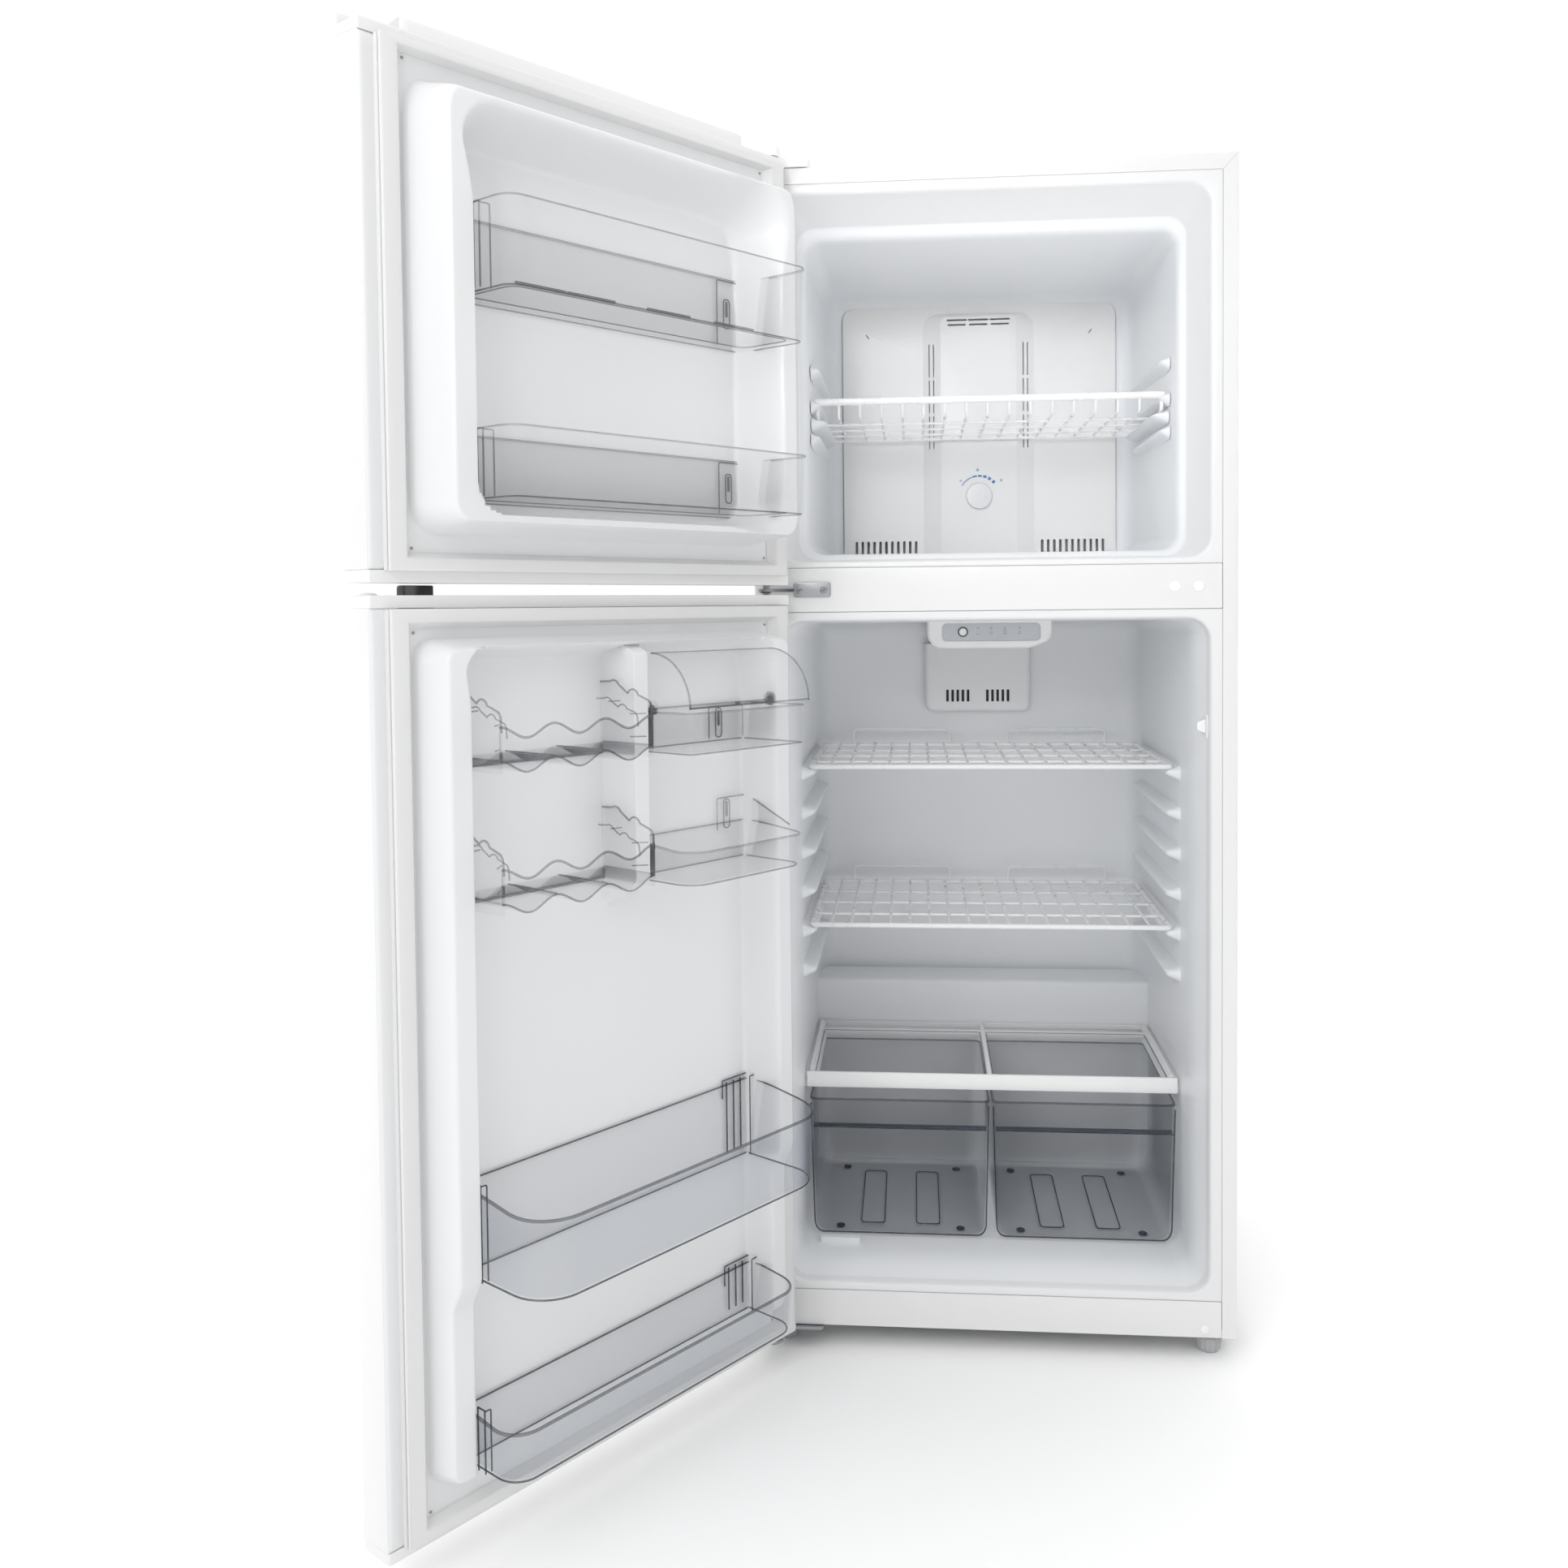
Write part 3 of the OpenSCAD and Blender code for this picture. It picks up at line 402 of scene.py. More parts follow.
def piece(name, bm, mats, body, place=CAB, replaces=(), bevel=0.0, limit=40, sharp=38,
          weld=True):
    """Makes the mesh an object in the row frame that rides on a CAD body."""
    if weld:
        bmesh.ops.remove_doubles(bm, verts=bm.verts, dist=0.0005)
    bmesh.ops.recalc_face_normals(bm, faces=bm.faces)
    mesh = bpy.data.meshes.new(name)
    bm.to_mesh(mesh)
    bm.free()
    mesh.transform(place)
    mats = [mats] if isinstance(mats, str) else mats
    for m in mats:
        mesh.materials.append(M[m])
    mesh.polygons.foreach_set("use_smooth", [True] * len(mesh.polygons))
    mesh.set_sharp_from_angle(angle=math.radians(sharp))
    mesh.update()
    made = bpy.data.objects.new(name, mesh)
    scene.collection.objects.link(made)
    if bevel:
        mod = made.modifiers.new("edges", "BEVEL")
        mod.width, mod.segments = bevel * MM, 2
        mod.limit_method, mod.angle_limit = "ANGLE", math.radians(limit)
        mod.harden_normals = True
        mod.use_clamp_overlap = True
    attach(made, body)
    if replaces:
        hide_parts(*([replaces] if isinstance(replaces, str) else replaces))
    return made


def cut(obj, cutter_bm):
    """Takes the cutter's shapes out of obj, which is in the cabinet frame."""
    bmesh.ops.recalc_face_normals(cutter_bm, faces=cutter_bm.faces)
    mesh = bpy.data.meshes.new("cutter")
    cutter_bm.to_mesh(mesh)
    cutter_bm.free()
    mesh.transform(CAB)
    tool = bpy.data.objects.new("cutter", mesh)
    scene.collection.objects.link(tool)
    mod = obj.modifiers.new("cut", "BOOLEAN")
    mod.operation, mod.solver, mod.object = "DIFFERENCE", "EXACT", tool
    while obj.modifiers[0] != mod:
        obj.modifiers.move(obj.modifiers.find(mod.name), 0)
    others = [(m, m.show_viewport) for m in obj.modifiers if m != mod]
    for m, _ in others:
        m.show_viewport = False
    graph = bpy.context.evaluated_depsgraph_get()
    made = bpy.data.meshes.new_from_object(obj.evaluated_get(graph))
    obj.modifiers.remove(mod)
    for m, shown in others:
        m.show_viewport = shown
    obj.data = made
    made.polygons.foreach_set("use_smooth", [True] * len(made.polygons))
    made.set_sharp_from_angle(angle=math.radians(38))
    bpy.data.objects.remove(tool)


# ---- cabinet ----
def cabinet_shell():
    """Folded sheet wrap: sides and top in one, with rounded folds and a mitred front flange."""
    def path(inset, top_inset, y):
        x, z = HALF_W - inset, TOP_Z - top_inset
        return [(-x, y, BASE_Z), (-x, y, z), (x, y, z), (x, y, BASE_Z)]
    profile = [(0, 559.6)] + [(0, 12)] + [(3.2 - 3.2 * math.cos(math.radians(a)),
                                           3.2 - 3.2 * math.sin(math.radians(a)))
                                          for a in range(0, 91, 15)] + [(18.6, 0), (18.9, 0.3),
                                                                       (18.9, 1.2), (5, 1.2),
                                                                       (1.2, 5), (1.2, 559.6)]
    bm = bmesh.new()
    rings = [path(i, i if i < 18 else i + 2, y) for i, y in profile]
    columns = [[bm.verts.new(p) for p in ring] for ring in rings]
    count = len(columns)
    for k in range(count):
        a, b = columns[k], columns[(k + 1) % count]
        for i in range(3):
            bm.faces.new((a[i], a[i + 1], b[i + 1], b[i]))
    for i in (0, 3):
        bm.faces.new([c[i] for c in columns])
    piece("shell_wrap", bm, "paint", "cabinet", replaces="outer_shell", bevel=0.5, limit=60)
    seam = bmesh.new()
    for s in (-1, 1):
        tube(seam, [(s * 297.0, 0.02, 1499.8), (s * 281.6, 0.02, 1482.6)], 0.22, 6)
    piece("flange_mitre_seams", seam, "grey", "cabinet")


def front_rail(name, z, node, lip):
    """Painted rail between the flanges, with softened edges and sides that run back to lip."""
    z0, z1, x = z[0] + 0.3, z[1] - 0.3, FLANGE_X
    bm = bmesh.new()
    loft(bm, [lift(rr(i - x, x - i, z0 + i, z1 - i, 1.2, 3), "y", y)
              for y, i in ((lip, 0.0), (1.2, 0.0), (0.5, 0.1), (0.12, 0.45), (0, 1.0))])
    piece(name, bm, "rail", "cabinet", replaces=node)


def liner_rings(steps):
    """Outlines of a liner from its flange to its rear, each (y, half width, z0, z1, radius)."""
    return [lift(rr(-x, x, z0, z1, r, 8), "y", y) for y, x, z0, z1, r in steps]


def mouth_shade_mats(steps, deep):
    """Material per band: painted shade (the darker mouth white) as far back as deep, then the
    liner's.
    """
    return [1 if b[0] <= deep else 0 for b in steps[1:]]


def rib(bm, side, wall, reach, y0, y1, top, thick, nose=14):
    """Shelf support moulded in a side wall, with a rounded nose at the front."""
    shape = [(-1.5, 5), (reach * 0.45, 1.6), (reach * 0.92, 0), (reach, -2),
             (reach, -thick + 2.6), (reach * 0.9, -thick + 0.4), (reach * 0.45, -thick - 3),
             (-1.5, -thick - 8)]
    rings = []
    spots = [(0, 0.12), (0.8, 0.45), (2.6, 0.75), (5.5, 0.93), (nose, 1.0)]
    for y, s in [(y0 + d, s) for d, s in spots] + [(y1 - d, s) for d, s in spots[::-1]]:
        mid = top - thick / 2
        rings.append([(side * (wall + 1 - (u + 1.5) * s), y, mid + (top + v - mid) * s)
                      for u, v in shape])
    loft(bm, rings)


def freezer_compartment():
    """Freezer liner: stepped mouth, tapered walls, and the ribs that carry the wire shelf."""
    bm = bmesh.new()
    steps = [
        (0.6, FLANGE_X, 1002.3, 1481.7, 0.3), (0.1, 280.2, 1002.8, 1481.2, 0.3),
        (0, 279, 1004, 1480, 0.4), (0, 270.5, 1006.5, 1472, 31), (0.7, 268, 1008.6, 1469.5, 29),
        (2.6, 266.4, 1009.8, 1467.6, 28), (6, 265.2, 1010.4, 1465.8, 27),
        (12, 262.6, 1010.8, 1462, 26.5), (47, 245.4, 1013, 1439, 25),
        (49.4, 243.6, 1013.8, 1436.4, 24.5), (50.8, 241.6, 1014.8, 1433.6, 24),
        (52.2, 239.4, 1016.4, 1430.6, 23), (54.4, 237.4, 1018, 1427.8, 22),
        (57.6, 236, 1019.6, 1425.4, 21), (62, 235, 1020.6, 1423.6, 20.5),
        (70, 234.2, 1021, 1422, 20), (340, 228.5, 1021.5, 1413.5, 22),
        (362, 227, 1022, 1412.6, 22), (374, 224.4, 1022, 1410.4, 21), (383, 219, 1022, 1405.6, 19),
        (387.4, 211.5, 1022, 1401, 18), (388.4, 205.4, 1022, 1399, 18),
        (390, 204.4, 1022, 1398, 18), (476.5, 204.2, 1022, 1398, 18)]
    # bands as far back as y 47 get the darker mouth white as painted shade
    loft(bm, liner_rings(steps), cap_start=False, mats=mouth_shade_mats(steps, 47))
    for s in (-1, 1):
        for top in (1267, 1221, 1178):
            rib(bm, s, 231.5, 11, 90, 356, top, 5, 46)
        rib(bm, s, 231.5, 19, 96, 356, 1199.1, 5, 26)
    piece("freezer_liner_shell", bm, ["liner", "mouth"], "cabinet", replaces="freezer_liner",
          sharp=55)


def fridge_compartment():
    """Fridge liner with its rear hump, shelf ribs and the joints of both liners."""
    bm = bmesh.new()
    steps = [
        (0.6, FLANGE_X, 75.3, 945.7, 0.3), (0.1, 280.2, 75.8, 945.2, 0.3),
        (0, 279, 77, 944, 0.4), (0, 270.5, 81, 939, 31), (0.7, 268, 83.4, 936.6, 29),
        (2.6, 266.4, 84.6, 935, 28), (6, 265.4, 85.6, 934.2, 27), (14, 263.8, 87, 933.6, 26.5),
        (24, 261.2, 89.6, 933, 26), (36, 257.6, 92.8, 932.6, 25), (50, 254.6, 95.4, 932.2, 24),
        (66, 252.8, 96.8, 932, 23), (80, 252.2, 97, 932, 22), (430, 250.4, 97, 931, 24),
        (455, 247.6, 99, 929, 25), (467, 243, 104, 924, 24), (474, 235, 112, 916, 22),
        (477, 222, 125, 903, 18)]
    # bands as far back as y 14 get the darker mouth white as painted shade
    loft(bm, liner_rings(steps), cap_start=False, mats=mouth_shade_mats(steps, 14))
    hump = arc(400, 370, 8, 180, 90, 6) + [(470, 377.9), (476.8, 360), (476.8, 98)]
    prism(bm, [(392.2, 97.4)] + hump, "x", -250.6, 250.6)
    for s in (-1, 1):
        for i in range(6):
            rib(bm, s, 251.2, 17, 123.5, 438, RIB_TOP - RIB_STEP * i, 8)
        rib(bm, s, 251.2, 16, 132, 388, 305.6, 6)
    # small pad that stops the left drawer at the front of the floor
    soft_block(bm, "z", (-230, -176), (88, 101), (104, 94.5), 3, 1.2, both=False)
    piece("fridge_liner_shell", bm, ["liner", "mouth"], "cabinet",
          replaces=("fridge_liner", "cabinet_foam"), sharp=55)
    # thin dark joint between each liner and the steel around it
    for name, z0, z1 in (("freezer", 1002, 1482), ("fridge", 75, 946)):
        line = bmesh.new()
        corners = [(-281, 0.5, z0), (281, 0.5, z0), (281, 0.5, z1), (-281, 0.5, z1)]
        tube(line, corners, 0.4, 6, closed=True)
        piece(name + "_liner_joint", line, "grey", "cabinet")


def plugs_and_switch():
    """Blanking plugs of the unused hinge holes, and the light switch on the right wall."""
    bm = bmesh.new()
    for x, z, r in ((223, 974, 7), (252, 974, 7), (260, 39, 5.5)):
        lathe(bm, [(r, -0.02), (r, -0.5), (r - 0.5, -1.15), (r - 1.6, -1.5), (2, -1.58),
                   (0.3, -1.6)], (x, 0, z), seg=28)
    piece("hole_plug_caps", bm, "white", "cabinet", replaces="hole_plugs")
    bm = bmesh.new()
    soft_block(bm, "x", (10.5, 20.5), (784, 814), (263.4, 265.6), 2, 0.6)
    piece("light_switch_plate", bm, "white", "cabinet")
    bm = bmesh.new()
    outline = rr(14.1, 16.9, 790.4, 807.6, 1.2, 4)
    loft(bm, [lift([((u - 15.5) * s + 15.5, (v - 799) * s2 + 799) for u, v in outline], "x", x)
              for x, s, s2 in ((263, 1.6, 1.0), (261, 1.5, 1.0), (259.5, 1.0, 0.9),
                               (254.4, 0.9, 0.62), (253.0, 0.7, 0.5), (252.6, 0.35, 0.3))])
    piece("light_switch_rocker", bm, "white", "light_switch_lever_body",
          replaces="light_switch_lever")


# ---- hinges and feet ----
def screw_head(bm, at, r, axis="z"):
    """Pan head with a cross recess, drawn as a flat dark cross on the head: painted shade."""
    h = 2.6
    flip = -1 if axis == "y" else 1
    profile = [(r * 0.98, 0), (r, 0.5), (r * 0.96, h * 0.55), (r * 0.78, h * 0.85),
               (r * 0.5, h), (r * 0.42, h * 0.98), (r * 0.3, h * 0.55), (0.2, h * 0.4)]
    lathe(bm, [(p, flip * q) for p, q in profile], at, axis, 24)
    # painted shade: each recess is a flat cross in the second, dark material, not a hollow
    for turn in (0, math.pi / 2):
        c, s = math.cos(turn + 0.4), math.sin(turn + 0.4)
        for sign in (-1, 1):
            along, across = (c * sign, s * sign), (-s, c)
            pts = [(along[0] * q + across[0] * w, along[1] * q + across[1] * w)
                   for q, w in ((r * 0.16, 0.5), (r * 0.62, 0.45), (r * 0.62, -0.45),
                                (r * 0.16, -0.5))]
            ring = [(at[0] + u, at[1] + flip * (h + 0.02), at[2] + v) if axis == "y"
                    else (at[0] + u, at[1] + v, at[2] + flip * (h + 0.02)) for u, v in pts]
            bm.faces.new([bm.verts.new(p) for p in ring]).material_index = 1


def hinges():
    """Top hinge with its cover, middle and bottom brackets with their pins, and the screws."""
    bm = bmesh.new()
    plan = rr(HINGE_X - 12.8, HINGE_X + 49.8, 4, 58, 6, 5)
    loft(bm, [lift(plan, "z", 1503.2), lift(plan, "z", 1506.8)])
    arm = arc(HINGE_X, HINGE_Y, 12, 180, 360, 16) + [(HINGE_X + 12, 14), (HINGE_X - 12, 14)]
    loft(bm, [lift(arm, "z", 1503.2), lift(arm, "z", 1506.8)])
    lathe(bm, [(3.9, 0), (3.9, -9.5), (2.8, -10.8), (0.3, -10.9)], (HINGE_X, HINGE_Y, 1503.3), "z",
          24)
    piece("top_hinge_plate", bm, "zinc", "cabinet", replaces="top_hinge", bevel=0.5)

    bm = bmesh.new()
    low = rr(HINGE_X - 17, HINGE_X + 56, -2, 66, 9, 6)
    front = rr(HINGE_X - 17, HINGE_X + 22, HINGE_Y - 17, 22, 9, 6)
    for outline, top in ((low, 1519.6), (front, 1520)):
        cx = sum(p for p, _ in outline) / len(outline)
        cy = sum(q for _, q in outline) / len(outline)
        steps = [(1503.2, 1.0), (1514, 0.995), (1517, 0.975), (1518.8, 0.94), (top, 0.88)]
        loft(bm, [lift([(cx + (p - cx) * s, cy + (q - cy) * s) for p, q in outline], "z", z)
                  for z, s in steps])
    piece("top_hinge_shroud", bm, "white", "cabinet", replaces="top_hinge_cover", bevel=0.3)

    zc = 974
    bm = bmesh.new()
    soft_block(bm, "y", (-250, -203), (zc - 9, zc + 10), (-2.5, -0.05), 3, 0.4)
    arm = [(-262, -0.2), (-249, -0.2), (-249, -2.5), (HINGE_X + 9.6, HINGE_Y - 3)]
    arm += arc(HINGE_X, HINGE_Y, 10, -20, -180, 12) + [(HINGE_X - 9, HINGE_Y + 4), (-262, -2.5)]
    loft(bm, [lift(arm, "z", zc - 2), lift(arm, "z", zc + 2)])
    lathe(bm, [(0.3, -14), (3.2, -13.8), (3.95, -13), (3.95, 13), (3.2, 13.8), (0.3, 14)],
          (HINGE_X, HINGE_Y, zc), "z", 24)
    lathe(bm, [(4, -2.2), (7, -2.2), (7, -3), (6.4, -3.6), (4, -3.6)], (HINGE_X, HINGE_Y, zc),
          "z", 24)
    piece("middle_hinge_bracket", bm, "zinc", "cabinet", replaces="middle_hinge", bevel=0.45)

    bm = bmesh.new()
    for x in (-243, -212):
        screw_head(bm, (x, -2.5, zc), 4.4, "y")
    for p in ((HINGE_X + 6, 46), (HINGE_X + 40, 46), (HINGE_X + 40, 16)):
        screw_head(bm, (p[0], p[1], 1507), 4.4, "z")
    piece("hinge_screw_heads", bm, ["zinc", "dark"], "cabinet", replaces="hinge_screws")
    bm = bmesh.new()
    for x in (HINGE_X + 22, HINGE_X + 52):
        lathe(bm, [(4.4, 24), (4.4, 22), (3.6, 21.2), (0.3, 21)], (x, 4, 0), "z", 24)
    plan = rr(HINGE_X - 14, HINGE_X + 62, -6, 14, 5, 5)
    loft(bm, [lift(plan, "z", 24), lift(plan, "z", 27.8)])
    arm = arc(HINGE_X, HINGE_Y, 12, 180, 360, 16) + [(HINGE_X + 12, 6), (HINGE_X - 12, 6)]
    loft(bm, [lift(arm, "z", 24), lift(arm, "z", 27.8)])
    lathe(bm, [(7.9, 27.8), (7.9, 36.6), (3.9, 36.8), (3.9, 47), (3, 47.8), (0.3, 48)],
          (HINGE_X, HINGE_Y, 0), "z", 24)
    piece("bottom_hinge_bracket", bm, "zinc", "cabinet", replaces="bottom_hinge", bevel=0.45)


def foot(name, x, body, node):
    """Tapered levelling pad with grips round it, on a threaded stem."""
    bm = bmesh.new()
    rings = []
    for z, r in ((0, 12.2), (0.8, 13), (3, 13.3), (17.2, 15.2), (19.2, 15.4), (20, 14.6)):
        ring = []
        for k in range(72):
            ridge = 1.5 if k % 6 in (2, 3, 4) and 2.5 < z < 18 else 0.0
            a = 2 * math.pi * k / 72
            ring.append((x + (r + ridge) * math.cos(a), FOOT_Y + (r + ridge) * math.sin(a), z))
        rings.append(ring)
    loft(bm, rings)
    thread = []
    for k in range(60):
        z, r = 20 + k * 0.127, 4.9 if k % 4 < 2 else 4.2
        thread.append((r, z))
    lathe(bm, [(0.3, 19.9)] + thread + [(0.3, 27.6)], (x, FOOT_Y, 0), "z", 20)
    piece(name, bm, "grey", body, replaces=node, bevel=0.25)


# ---- freezer cooling ----
def evaporator_front():
    """Freezer rear cover with a raised duct, cut slots, the dial's scale and its knob."""
    bm = bmesh.new()
    z0, z1, dial_z = 1021.3, 1403.2, 1117
    base = [lift(rr(-x, x, z0, z1 - i, (0.4, 0.4, 19, 19), 6), "y", y)
            for y, x, i in ((400, 203.6, 0), (386.2, 203.6, 0), (385.3, 203.2, 0.4),
                            (385, 202.4, 1.2))]
    loft(bm, base + [lift(rr(-30, 30, 1100, 1300, 5, 6), "y", 385)], cap_start=False)
    bulge = []
    for y, x, top, r in ((387, 84, 1393, 24), (385.2, 83, 1392, 23), (384.2, 80.5, 1391, 21),
                         (377.6, 61, 1387.6, 14), (376.2, 58.6, 1386.8, 12.5),
                         (375.3, 56.5, 1386, 11), (375, 54.6, 1385, 10)):
        bulge.append(lift(rr(-x, x, 1021.5, top, (0.5, 0.5, r, r), 6), "y", y))
    loft(bm, bulge)
    made = piece("evaporator_cover_panel", bm, "white", "cabinet", replaces="evaporator_cover",
                 weld=False)
    cutter = bmesh.new()
    for row, z in enumerate((1380, 1373)):
        for c in (-1, 0, 1):
            half = 15 - row * 1.5
            prism(cutter, rr(c * 32 - half, c * 32 + half, z - 1.3, z + 1.3, 1.2, 4), "y", 370, 402)
    for s in (-1, 1):
        for i in range(3):
            for off in (-3.2, 3.2):
                x = s * 70 + off
                prism(cutter, rr(x - 0.7, x + 0.7, 1189 + i * 54, 1238 + i * 54, 0.65, 4), "y",
                      368, 402)
        for i in range(11):
            x = s * 139.5 - 45 + i * 9
            prism(cutter, rr(x - 2, x + 2, 1027, 1051, 1.2, 4), "y", 378, 402)
        prism(cutter, [(s * 167.4, 1364), (s * 163, 1357.4), (s * 164.2, 1356.6),
                       (s * 168.6, 1363.2)], "y", 383, 402)
    cut(made, cutter)
    back = bmesh.new()
    prism(back, [(-200, 401), (200, 401), (200, 403), (-200, 403)], "z", 1024, 1400)
    piece("evaporator_cover_backing", back, "grey", "cabinet", bevel=0.5)
    # printed scale of the dial
    marks = bmesh.new()
    for a0, a1, width in ((148, 112, 0.7), (110, 96, 1.1), (93, 82, 1.4), (78, 68, 1.8),
                          (63, 54, 2.1), (48, 40, 2.4)):
        outer = arc(0, dial_z, 30 + width, a0, a1, 6)
        inner = arc(0, dial_z, 30 - width, a1, a0, 6)
        prism(marks, outer + inner, "y", 374.93, 374.6)
    piece("dial_scale", marks, "blue", "cabinet")
    tiny = bmesh.new()
    for cx, cz, bars in ((-2, 1156, 3), (-27, 1140, 2), (33, 1140, 3)):
        for k in range(bars):
            a = math.radians(180 / bars * k)
            u, v = 2.4 * math.cos(a), 2.4 * math.sin(a)
            tube(tiny, [(cx - u, 374.85, cz - v), (cx + u, 374.85, cz + v)], 0.3, 5)
    piece("dial_marks", tiny, "blue", "cabinet")
    knob = bmesh.new()
    lathe(knob, [(19.2, -0.5), (19.8, -1.2), (19.7, -5.6), (19.2, -6.9), (18.2, -7.6),
                 (16.8, -7.9), (8, -8), (0.3, -8)],
          (0, 375, dial_z), seg=64)
    piece("dial_knob", knob, "knob", "temperature_knob_body", replaces="temperature_knob",
          bevel=0.6)


# ---- fridge fittings ----
def duct_and_controls():
    """Air duct cover with vents, and the control housing with its fascia, marks and button."""
    bm = bmesh.new()
    button_x, button_z = -31, 916
    rings = [lift(rr(-x, x, z0, 893.4, (r, r, 0.5, 0.5), 7), "y", y)
             for y, x, z0, r in ((476.6, 83, 785, 15), (463, 82, 786, 14), (459, 80.6, 787.6, 13),
                                 (456.8, 78, 790, 11), (456, 75, 793, 9))]
    loft(bm, rings)
    made = piece("air_duct_panel", bm, "white", "cabinet", replaces="air_duct_cover", weld=False)
    cutter = bmesh.new()
    for s in (-1, 1):
        for i in range(5):
            x = s * 31 - 16 + i * 8
            prism(cutter, rr(x - 2.1, x + 2.1, 802, 821, 1.4, 4), "y", 452, 464)
    cut(made, cutter)
    back = bmesh.new()
    soft_block(back, "y", (-52, 52), (798, 825), (463.2, 465), 3, 0.4)
    piece("air_duct_shadow", back, "dark", "cabinet")

    bm = bmesh.new()
    body = [(-56, 893), (58, 893), (66, 894.4), (84, 901.4), (90.6, 908), (92, 916), (92, 931.6),
            (-80, 931.6), (-80, 912), (-78.6, 905), (-73, 897.6), (-66, 893.8)]
    rings = []
    for y, s in ((476.4, 0.0), (206, 0.0), (202, 0.9), (200.4, 2.4), (200, 4.4)):
        rings.append(lift([(6 + (u - 6) * (1 - s / 88), 931.6 - (931.6 - v) * (1 - s / 40))
                           for u, v in body], "y", y))
    loft(bm, rings)
    made = piece("control_box", bm, "white", "cabinet", replaces="control_housing", weld=False)
    cutter = bmesh.new()
    prism(cutter, rr(-60, 76, 903, 928.4, 7, 6), "y", 190, 201.6)
    cut(made, cutter)
    panel = bmesh.new()
    soft_block(panel, "y", (-59.7, 75.7), (903.3, 928.1), (200.9, 201.7), 6.8, 0.3, 6)
    piece("control_fascia", panel, "panel", "cabinet")
    ink = bmesh.new()
    for k, x in enumerate((-10, 8, 27, 47)):
        for j in range(k + 1 if k < 3 else 2):
            tube(ink, [(x - 2.2, 200.86, 913 + j * 2.4), (x + 2.2, 200.86, 913 + j * 2.4)], 0.32, 5)
        lathe(ink, [(1.7, 0), (1.7, -0.18), (1.1, -0.18), (1.1, 0)], (x, 200.92, 921), seg=16)
    piece("control_marks", ink, "ink", "cabinet")
    ring = bmesh.new()
    lathe(ring, [(7.4, 0), (7.4, -0.5), (6.9, -0.8), (6.4, -0.5), (6.3, 0)],
          (button_x, 200.9, button_z),
          seg=40)
    piece("control_button_ring", ring, "ink", "cabinet")
    push = bmesh.new()
    lathe(push, [(5.3, 5), (5.3, -1.6), (5.0, -2.3), (4.4, -2.6), (2.8, -2.3), (0.3, -2.2)],
          (button_x, 200.8, button_z), seg=36)
    piece("control_push", push, "white", "control_button_body", replaces="control_button")


# ---- wire shelves ----
def wire_shelf(name, body, node, x, y, z, r, wires, thin, guards=0.0, rail=0.0):
    """Frame rod, thin wires from front to back over three cross wires, and rear guards. A rail
    lifts the front of the frame above the wires."""
    bm = bmesh.new()
    if rail:
        frame_path = [(-x, y[0], z + rail), (x, y[0], z + rail), (x, y[0] + 1, z + 3),
                      (x, y[0] + 14, z), (x, y[1], z), (-x, y[1], z), (-x, y[0] + 14, z),
                      (-x, y[0] + 1, z + 3)]
        tube(bm, round_path(frame_path, 5, 5, True), r, 12, True)
        tube(bm, [(-x - 2.6, y[0], z + rail), (x + 2.6, y[0], z + rail)], 4.8, 16)
    else:
        corners = [(-x, y[0], z), (x, y[0], z), (x, y[1], z), (-x, y[1], z)]
        tube(bm, round_path(corners, 7, 5, True), r * 0.96, 14, True)
    pitch = 2 * x / (wires + 1)
    for i in range(1, wires + 1):
        at = i * pitch - x
        start = [(at, y[0] - r * 0.2, z + r * 0.4), (at, y[0] + 7, z + thin * 0.9)]
        if rail:
            start = [(at, y[0] + 1, z + rail - 1), (at, y[0] + 2, z + 1.5), (at, y[0] + 9, z + 1)]
            start = round_path(start, 5, 4)
        tube(bm, start + [(at, y[1], z + thin * 0.9)], thin, 8)
    for k in (1, 2, 3):
        at = y[0] + (y[1] - y[0]) * k / 4
        tube(bm, [(-x, at, z - r + 2.0), (x, at, z - r + 2.0)], 1.8, 10)
    if guards:
        for c in (-120, 120):
            loop = [(c - 75, y[1], z), (c - 75, y[1], z + guards), (c + 75, y[1], z + guards),
                    (c + 75, y[1], z)]
            tube(bm, round_path(loop, 8, 5), 1.8, 10)
    piece(name, bm, "wire", body, replaces=node)


# ---- crispers ----
def crisper_lid():
    """White frame over the drawers, with a deep front rail and two clear panes."""
    z0, z1 = 307, 313.6
    bm = bmesh.new()
    for x0, x1 in ((-246, -239), (-3.2, 3.2), (239, 246)):
        soft_block(bm, "z", (x0, x1), (130, 388), (z1, z0), 1.5, 1.2, 3)
    for y0, y1 in ((126, 136), (344, 350), (384, 388)):
        soft_block(bm, "z", (-246, 246), (y0, y1), (z1 - 0.15, z0), 1.9, 1.2, 3)
    rail = [(125.2, 298.2), (126.2, 296.6), (130.6, 296.6), (131.8, 298.2), (132.2, 306),
            (137, 306), (137, 314.4), (130, 317.4), (127, 317.2), (125.6, 315.4)]
    prism(bm, rail, "x", -248.6, 248.6)
    for s in (-1, 1):
        soft_block(bm, "z", sorted((s * 241.5, s * 246.2)), (140, 380), (316.4, 313), 1.4, 0.8, 3)
    piece("crisper_lid_frame", bm, "white", "crisper_lid", replaces="crisper_cover", bevel=0.4,
          weld=False)
    panes = bmesh.new()
    for s in (-1, 1):
        a = sorted((s * 3.6, s * 238.6))
        soft_block(panes, "z", a, (136, 384), (313.2, 310.2), 3, 0.6, 4)
        # painted shade: a dark line of edge finish round each pane
        edge = [(u, v, 312.4) for u, v in rr(a[0] + 1, a[1] - 1, 138, 342, 4, 4)]
        tube(panes, edge, 0.7, 6, True, mat=1)
    piece("crisper_lid_panes", panes, ["pane", "clear_rim"], "crisper_lid",
          replaces="crisper_glass", weld=False)


